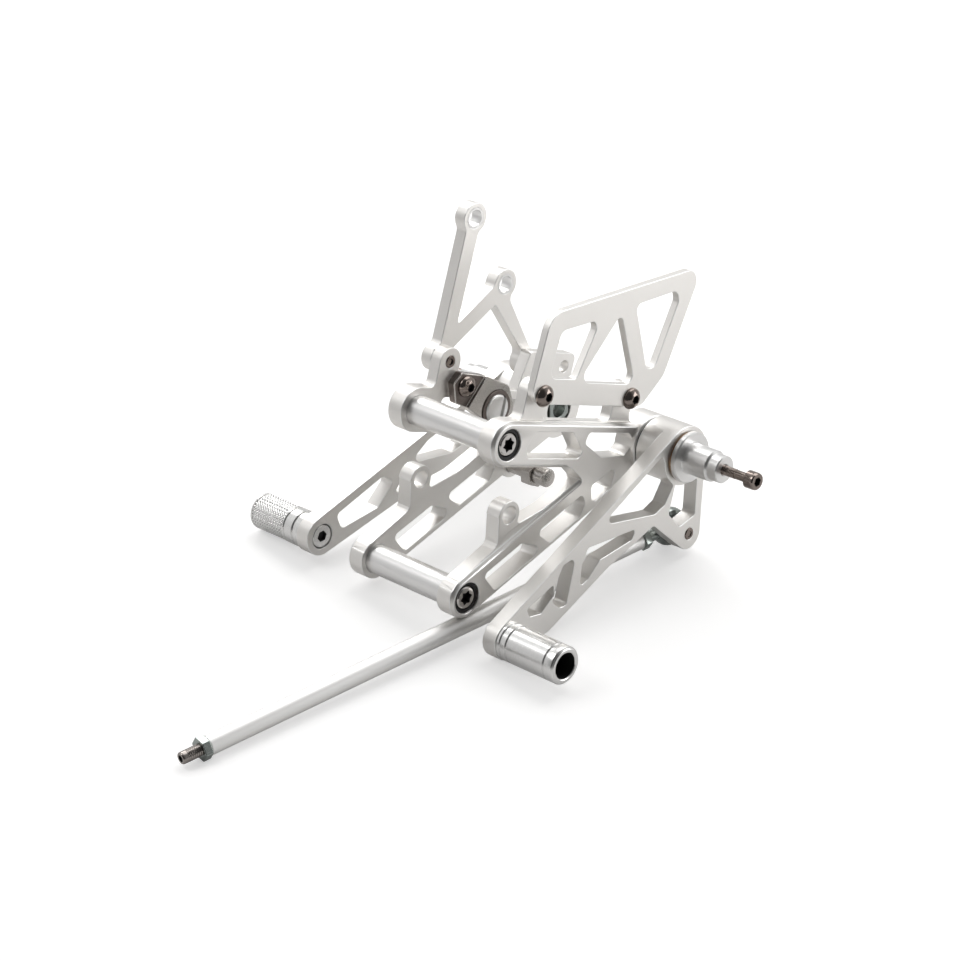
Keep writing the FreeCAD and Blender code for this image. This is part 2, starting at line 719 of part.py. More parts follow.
# Footpeg spindles.
def peg_spindle(label, outward):
    """Shouldered spindle: shank through lever and hub, flange, and the pin that holds a footpeg."""
    body = new_body(label)
    if outward > 0:
        flange_in = LEVER_OUTER + " + bush_collar + lever_gap"
        flange_out = flange_in + " + flange_thickness"
        barrel_out = flange_out + " + barrel_length"
        neck_out = barrel_out + " + neck_length"
        shank_in = LEFT_INNER + " + hub_recess_depth"
        disc(body, "shank", HUB, "shank_radius", flange_in,
             flange_in + " - plate_gap / 2 - hub_recess_depth")
        disc(body, "thread", HUB, "spindle_thread_radius", shank_in, "hub_recess_depth + 1")
        disc(body, "flange", HUB, "flange_radius", flange_out, "flange_thickness")
        disc(body, "barrel", HUB, "barrel_radius", barrel_out, "barrel_length")
        disc(body, "neck", HUB, "neck_radius", neck_out, "neck_length")
        bore(body, "bolt_thread", HUB, "peg_bolt_radius", neck_out, "barrel_length")
    else:
        flange_in = BRAKE_OUTER + " - bush_collar - lever_gap"
        flange_out = flange_in + " - flange_thickness"
        barrel_out = flange_out + " - barrel_length"
        neck_out = barrel_out + " - neck_length"
        shank_in = RIGHT_INNER + " - hub_recess_depth"
        reach = "hub_stand + seal_thickness + lever_gap + brake_boss_width + bush_collar + lever_gap"
        disc(body, "shank", HUB, "shank_radius", shank_in,
             "plate_thickness - hub_recess_depth + " + reach)
        disc(body, "thread", HUB, "spindle_thread_radius", RIGHT_INNER + " + 1",
             "hub_recess_depth + 1")
        disc(body, "flange", HUB, "flange_radius", flange_in, "flange_thickness")
        disc(body, "barrel", HUB, "barrel_radius", flange_out, "barrel_length")
        disc(body, "neck", HUB, "neck_radius", barrel_out, "neck_length")
        bore(body, "bolt_thread", HUB, "peg_bolt_radius", neck_out, "barrel_length",
             towards_left=True)
    chamfer(body, "edges", [(HUB, "flange_radius", flange_out), (HUB, "barrel_radius", barrel_out),
                            (HUB, "neck_radius", neck_out)], "chamfer_small")
    return body


def peg_bolt(label, outward):
    """Cap screw waiting in the end of the spindle, where the footpeg is to be clamped."""
    neck = "flange_thickness + barrel_length + neck_length + peg_bolt_stand + bush_collar + lever_gap"
    if outward > 0:
        seat = LEVER_OUTER + " + " + neck
    else:
        seat = BRAKE_OUTER + " - " + neck.replace("+", "-")
    return screw(label, HUB, seat, outward, "peg_bolt_head_radius", "peg_bolt_head_height",
                 "peg_bolt_radius - running_fit / 2", "peg_bolt_stand + barrel_length - 2",
                 "hex_key_four")


def spindle_nut(label, level):
    """Plated nut in the hub recess that draws the spindle tight."""
    body = new_body(label)
    sketch = side_sketch(body, label + "_hexagon", level)
    corner = size("spindle_nut_across") / math.sqrt(3)
    corners = []
    for i in range(6):
        turn = math.radians(60 * i + 12)
        corners.append((corner * math.cos(turn), corner * math.sin(turn), 0))
    draw_outline(sketch, corners)
    grow(body, sketch, "hub_recess_depth")
    through_hole(body, "bore", [HUB], "spindle_thread_radius + thread_gap", level)
    return body


# Brake lever.
def brake_lever():
    """Right-hand truss lever with its long pivot boss and a boss for the knurled toe peg."""
    body = new_body("brake_lever")
    corner = size("window_corner")
    arm = bar_frame(HUB, BRAKE_TOE)
    hub = (0.0, 0.0)
    toe = at(BRAKE_TOE)
    hub_top, toe_top = tangent(hub, size("hub_radius"), toe, size("brake_toe_radius"), 1)
    hub_low, toe_low = tangent(hub, size("hub_radius"), toe, size("brake_toe_radius"), -1)
    arm_inner = BRAKE_OUTER + " + lever_thickness"
    plate(body, "arm", [hub_top, toe_top, (toe[0], toe[1], 0), toe_low, hub_low, (0, 0, 0)],
          arm_inner, "lever_thickness")
    disc(body, "toe_boss", BRAKE_TOE, "brake_toe_radius", arm_inner, "lever_thickness")
    openings = [
        [arm(0.915, 5.2, corner), arm(0.676, 6.9, corner), arm(0.632, 0.5, corner),
         arm(0.735, -6.6, corner), arm(0.912, -3.4, corner)],
        [arm(0.545, 3.2, corner), arm(0.44, 7.9, corner), arm(0.36, 8.3, corner),
         arm(0.265, -7.2, corner), arm(0.345, -7.4, corner)],
        [arm(0.60, -1.5, corner), arm(0.655, -7.2, corner), arm(0.45, -8.2, corner)],
        [arm(0.30, 8.6, corner), arm(0.13, 9.6, corner), arm(0.13, -7.0, corner),
         arm(0.205, -7.6, corner)],
    ]
    windows(body, "openings", openings, arm_inner)
    disc(body, "pivot_boss", HUB, "hub_radius", BRAKE_INNER, "brake_boss_width")
    through_hole(body, "pivot_bore", [HUB], "shank_radius + bush_wall", arm_inner)
    through_hole(body, "screw_bore", [BRAKE_TOE], "m_six_radius + running_fit", arm_inner)
    bore(body, "screw_seat", BRAKE_TOE, "peg_bore", arm_inner, "3.2")
    return body


def brake_peg():
    """Toe peg of the brake lever: plain collar by the arm, then the gripping length."""
    body = new_body("brake_toe_peg")
    disc(body, "barrel", BRAKE_TOE, "brake_peg_radius", BRAKE_OUTER, "brake_peg_length")
    outer = BRAKE_OUTER + " - brake_peg_length"
    bore(body, "thread", BRAKE_TOE, "m_six_radius", BRAKE_OUTER, "18")
    groove(body, "collar_groove", BRAKE_TOE, "brake_peg_radius", BRAKE_OUTER + " - 3.2", "1.4",
           "peg_groove")
    groove(body, "grip_groove", BRAKE_TOE, "brake_peg_radius", BRAKE_OUTER + " - 9.4", "1.2",
           "peg_groove")
    chamfer(body, "outer_edge", [(BRAKE_TOE, "brake_peg_radius", outer)], "chamfer_small * 1.6")
    return body


def toe_screw(label, spot, level, outward, length):
    """Countersunk-size screw set flush in a lever, holding its toe peg."""
    return screw(label, spot, level, outward, "peg_bore - 0.15", "2.9", "m_six_radius - 0.02",
                 length, "hex_key_four")


# Cylinder bracket.
def cylinder_bracket():
    """Two-armed bracket on the right plate; its eyes carry the brake master cylinder."""
    body = new_body("cylinder_bracket")
    level = RIGHT_TAB
    front = at(FRONT_TAB)
    rear = at(REAR_TAB)
    tall = at(FRONT_EYE)
    low = at(REAR_EYE)
    foot = size("tab_radius")
    eye = size("eye_outer")
    front_a, tall_a = tangent(front, 4.4, tall, eye - 1.2, 1)
    front_b, tall_b = tangent(front, 4.4, tall, eye - 1.2, -1)
    plate(body, "tall_arm", [front_a, tall_a, (tall[0], tall[1], 0), tall_b, front_b,
                             (front[0], front[1], 0)], level, "arm_thickness")
    knee = (front[0] - 3.0, front[1] + 12.0)
    knee_a, low_a = tangent(knee, 9.0, low, eye - 1.0, 1)
    knee_b, low_b = tangent(knee, 9.0, low, eye - 1.0, -1)
    plate(body, "cross_arm", [knee_a, low_a, (low[0], low[1], 0), low_b, knee_b,
                              (front[0] + 2.0, front[1] + 4.0, 0), (knee[0] + 3.0, knee[1], 0)],
          level, "arm_thickness")
    rear_a, leg_a = tangent(rear, 5.4, low, 5.4, 1)
    rear_b, leg_b = tangent(rear, 5.4, low, 5.4, -1)
    plate(body, "rear_leg", [rear_a, leg_a, (low[0], low[1], 0), leg_b, rear_b,
                             (rear[0], rear[1], 0)], level, "arm_thickness")
    for name, spot, radius in (("front_foot", FRONT_TAB, "tab_radius"),
                               ("rear_foot", REAR_TAB, "tab_radius"),
                               ("tall_eye", FRONT_EYE, "eye_outer"),
                               ("low_eye", REAR_EYE, "eye_outer")):
        disc(body, name, spot, radius, level, "arm_thickness")
    through_hole(body, "eye_bores", [FRONT_EYE, REAR_EYE], "eye_bore", level)
    through_hole(body, "foot_holes", [FRONT_TAB, REAR_TAB], "m_six_radius + running_fit", level)
    return body


def eye_bushes():
    """A plain sleeve pressed into each eye."""
    members = []
    for name, spot in (("front", FRONT_EYE), ("rear", REAR_EYE)):
        outer = primitive("Part::Cylinder", name + "_sleeve", spot, RIGHT_TAB, -1, 0,
                          Radius="eye_bore", Height="arm_thickness")
        hole = primitive("Part::Cylinder", name + "_sleeve_bore", spot, RIGHT_TAB, -1, -1,
                         Radius="eye_bush_bore", Height="arm_thickness + 2")
        sleeve = doc.addObject("Part::Cut", name + "_eye_bush")
        sleeve.Base = outer
        sleeve.Tool = hole
        members.append(sleeve)
    return group("eye_bushes", members)


# Fittings inside the right plate.
def clamp_plate():
    """Steel plate that pinches the round housing against the right plate; half of it is raised."""
    body = new_body("clamp_plate")
    x, z = at(CLAMP_SCREW)
    ring_x, ring_z = at(CLAMP_RING)
    flat = [(x + 8.6, z + 0.9, 1.5), (x + 4.6, z + 6.4, 1.5), (x - 11.5, z + 5.5, 0),
            (x - 2.8, z - 10.4, 0), (x + 4.6, z - 8.6, 1.5)]
    level = RIGHT_INNER + " + clamp_plate_thickness"
    plate(body, "outline", flat, level, "clamp_plate_thickness")
    seat = [(x - 11.5, z + 5.5, 0), (ring_x - 6.0, ring_z + 11.6, 4.0), (ring_x - 13.2, ring_z, 5.0),
            (ring_x - 6.0, ring_z - 11.6, 4.0), (x - 2.8, z - 10.4, 0)]
    raised = RIGHT_INNER + " + clamp_seat_height"
    plate(body, "seat", seat, raised, "clamp_seat_height")
    through_hole(body, "screw_hole", [CLAMP_SCREW], "m_six_radius + running_fit", level)
    bore(body, "ring_seat", CLAMP_RING, "clamp_ring_radius + running_fit", raised, "2.5")
    through_hole(body, "pin_hole", [CLAMP_RING], "barrel_pin_radius + running_fit", level)
    return body


def clamp_ring():
    """Split ring let into the raised half of the clamp plate."""
    body = new_body("clamp_ring")
    level = RIGHT_INNER + " + clamp_seat_height + 0.6"
    disc(body, "ring", CLAMP_RING, "clamp_ring_radius", level, "3.1")
    through_hole(body, "bore", [CLAMP_RING], "barrel_pin_radius + running_fit", level)
    x, z = at(CLAMP_RING)
    slot = [(x - 0.8, z - 16.0, 0), (x + 0.8, z - 16.0, 0), (x + 0.8, z, 0), (x - 0.8, z, 0)]
    windows(body, "split", [slot], level)
    return body


def barrel_pin():
    """Round pin held in the split ring, slotted across its end."""
    body = new_body("barrel_pin")
    level = RIGHT_INNER + " + clamp_seat_height + 1.4"
    disc(body, "pin", CLAMP_RING, "barrel_pin_radius", level, "clamp_seat_height + 1.4")
    x, z = at(CLAMP_RING)
    sketch = side_sketch(body, "barrel_pin_slot", level)
    draw_outline(sketch, [(x - 4.2, z - 12.0, 0), (x - 2.6, z - 12.0, 0), (x - 2.6, z + 12.0, 0),
                          (x - 4.2, z + 12.0, 0)])
    pocket = body.newObject("PartDesign::Pocket", "barrel_pin_slot_cut")
    pocket.Profile = sketch
    pocket.Length = 2.0
    pocket.Reversed = True
    chamfer(body, "edge", [(CLAMP_RING, "barrel_pin_radius", level)], "chamfer_small")
    return body


def stop_screw():
    """Screw standing inward from the right plate, with a larger round end."""
    body = new_body("stop_screw")
    level = RIGHT_INNER + " + stop_screw_reach"
    disc(body, "shank", STOP_SCREW, "stop_screw_radius", level,
         "stop_screw_reach + plate_thickness")
    disc(body, "pad", STOP_SCREW, "stop_screw_radius + 0.6", level, "7")
    chamfer(body, "edge", [(STOP_SCREW, "stop_screw_radius + 0.6", level)], "chamfer_small")
    return body


def stop_nut():
    """Lock nut on the stop screw."""
    body = new_body("stop_nut")
    level = RIGHT_INNER + " + stop_screw_reach - 7.4"
    x, z = at(STOP_SCREW)
    sketch = side_sketch(body, "stop_nut_hexagon", level)
    corners = []
    for i in range(6):
        turn = math.radians(60 * i + 8)
        corners.append((x + 7.0 * math.cos(turn), z + 7.0 * math.sin(turn), 0))
    draw_outline(sketch, corners)
    grow(body, sketch, "6")
    through_hole(body, "bore", [STOP_SCREW], "stop_screw_radius", level)
    return body


# Rest pose.
def rest_lean(circles):
    """Plane normal and depth under three round contacts (x, y, z, radius)."""
    normal = V(0.3, 0.1, 1.0)
    for _ in range(40):
        normal.normalize()
        flat = math.hypot(normal.x, normal.z)
        touches = []
        for x, y, z, radius in circles:
            touches.append(V(x - radius * normal.x / flat, y, z - radius * normal.z / flat))
        normal = (touches[1] - touches[0]).cross(touches[2] - touches[0])
        if normal.z < 0:
            normal = normal * -1
    normal.normalize()
    return normal, normal.dot(touches[0])


def rest_placement(normal, depth):
    """Placement that lays the plane flat at Z = 0 with the forward direction kept along X."""
    roll = math.degrees(math.asin(normal.y))
    lean = math.degrees(math.atan2(normal.x, normal.z))
    turn = FreeCAD.Rotation(V(1, 0, 0), roll).multiply(FreeCAD.Rotation(V(0, 1, 0), -lean))
    return FreeCAD.Placement(V(0, 0, -depth), turn)


BALL_Y = LEVER_ARM + " - ball_width / 2"
EYE_INNER = BALL_Y + " - eye_width / 2"
FAR_PEG_TIP = BRAKE_OUTER + " - brake_peg_length + chamfer_small"
contacts = [
    (size("toe_x"), worth(LEVER_ARM), size("toe_z"), size("toe_radius")),
    (size("tail_x"), worth(EYE_INNER), size("tail_z"), size("eye_radius")),
    (size("brake_toe_x"), worth(FAR_PEG_TIP), size("brake_toe_z"), size("brake_peg_radius")),
]
floor_normal, floor_depth = rest_lean(contacts)
REST = rest_placement(floor_normal, floor_depth)


# Rod end and shift rod.
ball_centre = V(size("tail_x"), worth(BALL_Y), size("tail_z"))


def rod_turn():
    """Rotation that points local X from the ball to the front nut, which lies flat on the floor."""
    drop = floor_normal.dot(ball_centre) - floor_depth - size("rod_nut_across") / 2
    reach = size("rod_start") + size("rod_length") + size("rod_nut_width")
    yaw = FreeCAD.Rotation(V(0, 0, 1), size("rod_yaw"))
    pitch = 20.0
    for _ in range(60):
        ahead = FreeCAD.Rotation(V(0, 1, 0), pitch).multVec(yaw.multVec(V(1, 0, 0)))
        low = -floor_normal.dot(ahead) * reach
        pitch += math.degrees((drop - low) / reach)
    return FreeCAD.Rotation(V(0, 1, 0), pitch).multiply(yaw)


def nut_spin(turn):
    """Turn about the rod's own line that brings a flat of its nuts level with the floor."""
    side = turn.multVec(V(0, 1, 0))
    up = turn.multVec(V(0, 0, 1))
    return FreeCAD.Rotation(V(1, 0, 0),
                            math.degrees(math.atan2(-floor_normal.dot(side), floor_normal.dot(up))))


towards_front = rod_turn()
EYE_PLACE = REST.multiply(FreeCAD.Placement(ball_centre, towards_front))
ROD = EYE_PLACE.multiply(FreeCAD.Placement(V(0, 0, 0), nut_spin(towards_front)))


def turned(label, profile):
    """Piece turned about the rod line; profile holds (distance along, radius) points."""
    body = new_body(label)
    sketch = body.newObject("Sketcher::SketchObject", label + "_profile")
    sketch.AttachmentSupport = [(origin_plane(body, "XY_Plane"), "")]
    sketch.MapMode = "FlatFace"
    points = [V(x, y, 0) for x, y in profile]
    for i, start in enumerate(points):
        sketch.addGeometry(Part.LineSegment(start, points[(i + 1) % len(points)]), False)
    spin = body.newObject("PartDesign::Revolution", label + "_spin")
    spin.Profile = sketch
    spin.ReferenceAxis = (sketch, ["H_Axis"])
    spin.Angle = 360
    sketch.Visibility = False
    return body


def rod_hexagon(body, name, start, length, across):
    """Six-sided length along the rod line."""
    sketch = body.newObject("Sketcher::SketchObject", body.Name + "_" + name)
    sketch.AttachmentSupport = [(origin_plane(body, "YZ_Plane"), "")]
    sketch.MapMode = "FlatFace"
    sketch.AttachmentOffset = FreeCAD.Placement(V(0, 0, worth(start)), FreeCAD.Rotation())
    sketch.setExpression("AttachmentOffset.Base.z", bound(start))
    corner = worth(across) / math.sqrt(3)
    corners = []
    for i in range(6):
        corners.append((corner * math.cos(math.radians(60 * i)),
                        corner * math.sin(math.radians(60 * i)), 0))
    draw_outline(sketch, corners)
    return grow(body, sketch, length)


def rod_end_ball():
    """Pivoting ball, flat on both sides and bored for the screw."""
    radius = size("ball_radius")
    half = size("ball_width") / 2
    neck = 0.88 * math.sqrt(radius * radius - (size("eye_width") / 2) ** 2)
    ball = Part.makeSphere(radius)
    for side in (-1, 1):
        stub = Part.makeCylinder(neck, half, V(0, 0, 0), V(0, side, 0))
        ball = ball.fuse(stub)
    ball = ball.common(Part.makeBox(4 * radius, 2 * half, 4 * radius,
                                    V(-2 * radius, -half, -2 * radius)))
    ball = ball.cut(Part.makeCylinder(size("m_six_radius"), 2 * half, V(0, -half, 0), V(0, 1, 0)))
    feature = doc.addObject("Part::Feature", "rod_end_ball")
    feature.Shape = ball
    feature.Label = "rod_end_ball"
    return feature


def rod_end_body():
    """Forged eye around the ball with a threaded shank that screws into the rod."""
    half = size("eye_width") / 2
    body = Part.makeCylinder(size("eye_radius"), 2 * half, V(0, -half, 0), V(0, 1, 0))
    shank_end = size("rod_start") + 12.0
    neck_radius = size("m_six_radius") + 0.6
    neck = Part.makeCylinder(neck_radius, size("rod_start") * 0.75, V(0, 0, 0), V(1, 0, 0))
    thread = Part.makeCylinder(size("thread_core_radius"), shank_end, V(0, 0, 0), V(1, 0, 0))
    body = body.fuse(neck).fuse(thread)
    body = body.cut(Part.makeSphere(size("ball_radius") + size("running_fit")))
    body = body.cut(Part.makeCylinder(size("ball_radius") * 0.82, 4 * half, V(0, -2 * half, 0),
                                      V(0, 1, 0)))
    feature = doc.addObject("Part::Feature", "rod_end_body")
    feature.Shape = body.removeSplitter()
    feature.Label = "rod_end_body"
    return feature


def shift_rod():
    """Drawn rod, drilled and tapped at both ends, with a small bevel at each."""
    start = size("rod_start")
    end = start + size("rod_length")
    radius = size("rod_radius")
    bevel = size("chamfer_small")
    bore_radius = size("thread_core_radius") + size("thread_gap")
    return turned("shift_rod", [
        (start, bore_radius), (start, radius - bevel), (start + bevel, radius),
        (end - bevel, radius), (end, radius - bevel), (end, bore_radius),
        (end - 20.0, bore_radius), (end - 20.0, 0), (start + 16.0, 0),
        (start + 16.0, bore_radius)])


def rod_nut(label, start):
    body = new_body(label)
    rod_hexagon(body, "hexagon", start, "rod_nut_width", "rod_nut_across")
    sketch = body.newObject("Sketcher::SketchObject", label + "_bore")
    sketch.AttachmentSupport = [(origin_plane(body, "YZ_Plane"), "")]
    sketch.MapMode = "FlatFace"
    draw_circle(sketch, HUB, "thread_core_radius + thread_gap")
    pocket = body.newObject("PartDesign::Pocket", label + "_bore_cut")
    pocket.Profile = sketch
    pocket.Type = "ThroughAll"
    pocket.Midplane = True
    sketch.Visibility = False
    return body


def front_stud():
    """Grub screw in the rod's front end with a hexagon socket, ready for the gearbox joint."""
    end = size("rod_start") + size("rod_length") + size("rod_nut_width") + size("stud_stand")
    inner = size("rod_start") + size("rod_length") - 18.0
    radius = size("stud_radius")
    threaded = size("thread_core_radius")
    face = end - size("stud_stand")
    bevel = size("chamfer_small")
    body = turned("rod_front_stud", [(inner, 0), (inner, threaded), (face, threaded),
                                     (face, radius), (end - bevel, radius),
                                     (end, radius - bevel), (end, 0)])
    sketch = body.newObject("Sketcher::SketchObject", "rod_front_stud_socket")
    sketch.AttachmentSupport = [(origin_plane(body, "YZ_Plane"), "")]
    sketch.MapMode = "FlatFace"
    sketch.AttachmentOffset = FreeCAD.Placement(V(0, 0, end), FreeCAD.Rotation())
    sketch.setExpression("AttachmentOffset.Base.z",
                         bound("rod_start + rod_length + rod_nut_width + stud_stand"))
    corners = []
    for i in range(6):
        corners.append((1.75 * math.cos(math.radians(60 * i)),
                        1.75 * math.sin(math.radians(60 * i)), 0))
    draw_outline(sketch, corners)
    pocket = body.newObject("PartDesign::Pocket", "rod_front_stud_socket_cut")
    pocket.Profile = sketch
    pocket.Length = 3.0
    sketch.Visibility = False
    return body


# The whole set.
pieces = [
    side_plate("left_bracket", True),
    side_plate("right_bracket", False),
    cross_tube("upper_cross_tube", UPPER),
    cross_tube("lower_cross_tube", LOWER),
    tube_screws("left_tube_screws", LEFT_OUTER + " - counterbore_depth", 1),
    tube_screws("right_tube_screws", RIGHT_OUTER + " + counterbore_depth", -1),
    heel_guard(),
    tab_screws("heel_guard_screws", (FRONT_TAB, REAR_TAB),
               LEFT_INNER + " + tab_thickness + guard_thickness", 1, "tab_thickness + 3"),
    shift_lever(),
    pivot_bush("shift_lever_bush", LEVER_INNER, LEVER_OUTER, 1),
    hub_seal("left_hub_seal", LEFT_HUB + " + seal_thickness"),
    shift_peg(),
    toe_screw("shift_toe_screw", TOE, LEVER_OUTER + " + peg_length - peg_bore_depth", 1,
              "peg_length - peg_bore_depth + lever_thickness - 1"),
    peg_spindle("left_peg_spindle", 1),
    peg_bolt("left_peg_bolt", 1),
    spindle_nut("left_spindle_nut", LEFT_INNER + " + hub_recess_depth"),
    brake_lever(),
    pivot_bush("brake_lever_bush", BRAKE_INNER, BRAKE_OUTER, -1),
    hub_seal("right_hub_seal", RIGHT_OUTER + " - hub_stand"),
    brake_peg(),
    toe_screw("brake_toe_screw", BRAKE_TOE, BRAKE_OUTER + " + lever_thickness - 3.2", 1,
              "lever_thickness - 3.2 + 16"),
    peg_spindle("right_peg_spindle", -1),
    peg_bolt("right_peg_bolt", -1),
    spindle_nut("right_spindle_nut", RIGHT_INNER),
    cylinder_bracket(),
    tab_screws("cylinder_bracket_screws", (FRONT_TAB, REAR_TAB), RIGHT_TAB + " - arm_thickness",
               -1, "arm_thickness + tab_thickness"),
    eye_bushes(),
    clamp_plate(),
    tab_screws("clamp_screw", (CLAMP_SCREW,), RIGHT_INNER + " + clamp_plate_thickness", 1,
               "clamp_plate_thickness + tab_thickness"),
    clamp_ring(),
    barrel_pin(),
    stop_screw(),
    stop_nut(),
]
eye = rod_end_body()
rod_pieces = [
    rod_nut("rod_rear_nut", "rod_start - rod_nut_width"),
    shift_rod(),
    rod_nut("rod_front_nut", "rod_start + rod_length"),
    front_stud(),
]
ball = rod_end_ball()
tail_screw = screw("rod_end_screw", TAIL, BALL_Y + " - ball_width / 2", -1, "m_six_radius + 2",
                   "4", "m_six_radius - 0.02", "ball_width + lever_thickness", "hex_key_four")

doc.recompute()
for piece in pieces + [tail_screw]:
    piece.Placement = REST
for piece in rod_pieces:
    piece.Placement = ROD
eye.Placement = EYE_PLACE
ball.Placement = REST.multiply(FreeCAD.Placement(ball_centre, FreeCAD.Rotation()))
doc.recompute()

# The origin of the finished set is the middle of its footprint, on the floor.
everything = pieces + rod_pieces + [eye, ball, tail_screw]
footprint = FreeCAD.BoundBox()
for piece in everything:
    footprint.add(piece.Shape.optimalBoundingBox(False, False))
to_middle = FreeCAD.Placement(V(-footprint.Center.x, -footprint.Center.y, 0), FreeCAD.Rotation())
for piece in everything:
    piece.Placement = to_middle.multiply(piece.Placement)
doc.recompute()

for item in doc.Objects:
    if "Invalid" in item.State or "Error" in item.State:
        raise RuntimeError("faulty object " + item.Label)

os.makedirs("parts", exist_ok=True)
for piece in everything:
    if piece.Shape.isNull() or not piece.Shape.isValid():
        raise RuntimeError("bad shape " + piece.Label)
    piece.Shape.exportStep(os.path.join("parts", piece.Label + ".step"))
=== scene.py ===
import json
import math

import bmesh
import bpy
from mathutils import Matrix, Vector


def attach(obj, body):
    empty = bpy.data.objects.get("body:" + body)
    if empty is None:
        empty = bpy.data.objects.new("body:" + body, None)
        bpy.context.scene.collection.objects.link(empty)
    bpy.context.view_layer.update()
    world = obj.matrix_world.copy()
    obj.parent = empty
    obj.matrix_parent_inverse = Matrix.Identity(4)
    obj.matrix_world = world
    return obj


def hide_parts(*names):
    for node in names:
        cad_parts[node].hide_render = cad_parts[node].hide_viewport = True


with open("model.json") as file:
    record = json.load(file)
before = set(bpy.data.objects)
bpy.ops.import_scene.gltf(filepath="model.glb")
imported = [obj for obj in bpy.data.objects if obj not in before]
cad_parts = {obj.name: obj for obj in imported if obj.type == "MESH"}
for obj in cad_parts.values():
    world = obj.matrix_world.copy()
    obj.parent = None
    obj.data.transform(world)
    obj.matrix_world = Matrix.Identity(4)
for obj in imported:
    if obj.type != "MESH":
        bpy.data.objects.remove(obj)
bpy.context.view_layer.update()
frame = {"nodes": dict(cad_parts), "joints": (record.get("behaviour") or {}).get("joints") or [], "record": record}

# The set's own directions: across runs along the pivot line to the left-hand side, forward along the
# top bars and upward square to them.  The pivot and the two cylinder eyes, which lie on a line at
# 45 degrees, give them, so every turned piece lands on its CAD axis.
pivot = next(joint for joint in frame["joints"] if joint["name"] == "shift_pivot")
mounts = {mount["name"]: mount for mount in frame["record"]["mounts"]}
across = Vector(pivot["axis"]).normalized()
eye_line = Vector(mounts["cylinder_front_eye"]["pos_m"]) - Vector(mounts["cylinder_rear_eye"]["pos_m"])
eye_line.normalize()
forward = (eye_line + across.cross(eye_line)).normalized()
upward = forward.cross(across)
set_axes = Matrix((forward, across, upward)).transposed().to_4x4()
set_axes.translation = Vector(pivot["pos_m"])


def spot(x, y, z):
    """Point of the set, given in millimetres from the middle of the pivot line."""
    return set_axes @ (Vector((x, y, z)) / 1000)


# Camera, floor and light.  A long lens looks down on the set from its front left corner; the floor is
# matt and pale and goes to white, the room is brightest overhead and dark on the front left, and soft
# lamps light the metal from above and from three sides.
def wire(group, node, name, value):
    """Give a node's input a value, or link it to another node's output."""
    target = node.inputs[name]
    if isinstance(value, bpy.types.NodeSocket):
        group.links.new(value, target)
    else:
        target.default_value = value


def added(group, kind, operation=None, **values):
    """New node with its operation and inputs set; underscores in a name stand for spaces."""
    node = group.nodes.new(kind)
    if operation:
        node.operation = operation
    for name, value in values.items():
        wire(group, node, name.replace("_", " "), value)
    return node


def reckon(group, operation, *values):
    """Math node over numbers or outputs; gives its output."""
    node = added(group, "ShaderNodeMath", operation)
    for place, value in enumerate(values):
        wire(group, node, place, value)
    return node.outputs[0]


def seen_rays(group):
    """Kinds of ray, and 1 for what the camera sees, straight or through glass."""
    rays = added(group, "ShaderNodeLightPath").outputs
    return rays, reckon(group, "MAXIMUM", rays["Is Camera Ray"], rays["Is Transmission Ray"])


lens = bpy.data.cameras.new("camera")
lens.lens = 101.25
lens.sensor_width = 36
camera = bpy.data.objects.new("camera", lens)
bpy.context.scene.collection.objects.link(camera)
bpy.context.scene.camera = camera
look = (set_axes.to_3x3() @ Vector((-0.734, -0.651, -0.195))).normalized()
top = set_axes.to_3x3() @ Vector((-0.004, -0.282, 0.960))
side = look.cross(top).normalized()
camera.matrix_world = Matrix((side, side.cross(look), -look)).transposed().to_4x4()
camera.location = spot(1000.1, 820.8, 217.4)
bpy.context.scene.view_settings.view_transform = "Standard"

FLOOR_REACH = 4
corners = [(x, y, 0) for x, y in ((-1, -1), (1, -1), (1, 1), (-1, 1))]
floor_mesh = bpy.data.meshes.new("floor")
floor_mesh.from_pydata([Vector(corner) * FLOOR_REACH for corner in corners], [], [(0, 1, 2, 3)])
floor = bpy.data.objects.new("floor", floor_mesh)
bpy.context.scene.collection.objects.link(floor)
floor_paint = bpy.data.materials.new("floor_paint")
floor_paint.use_nodes = True
tree = floor_paint.node_tree
rays, seen = seen_rays(tree)
mirrored = reckon(tree, "MULTIPLY_ADD", rays["Is Glossy Ray"], 0.1, seen)
from_middle = added(tree, "ShaderNodeVectorMath", "LENGTH",
                    Vector=added(tree, "ShaderNodeTexCoord").outputs["Object"]).outputs["Value"]
lift = added(tree, "ShaderNodeMapRange", Value=from_middle, From_Min=0.35, From_Max=1.3, To_Min=0.50,
             To_Max=0.78)
for name, value in (("Base Color", (0.64, 0.635, 0.63, 1)), ("Roughness", 0.9), ("Specular IOR Level", 0.1),
                    ("Emission Color", (1, 1, 1, 1)),
                    ("Emission Strength", reckon(tree, "MULTIPLY", mirrored, lift.outputs[0]))):
    wire(tree, tree.nodes["Principled BSDF"], name, value)
floor_mesh.materials.append(floor_paint)

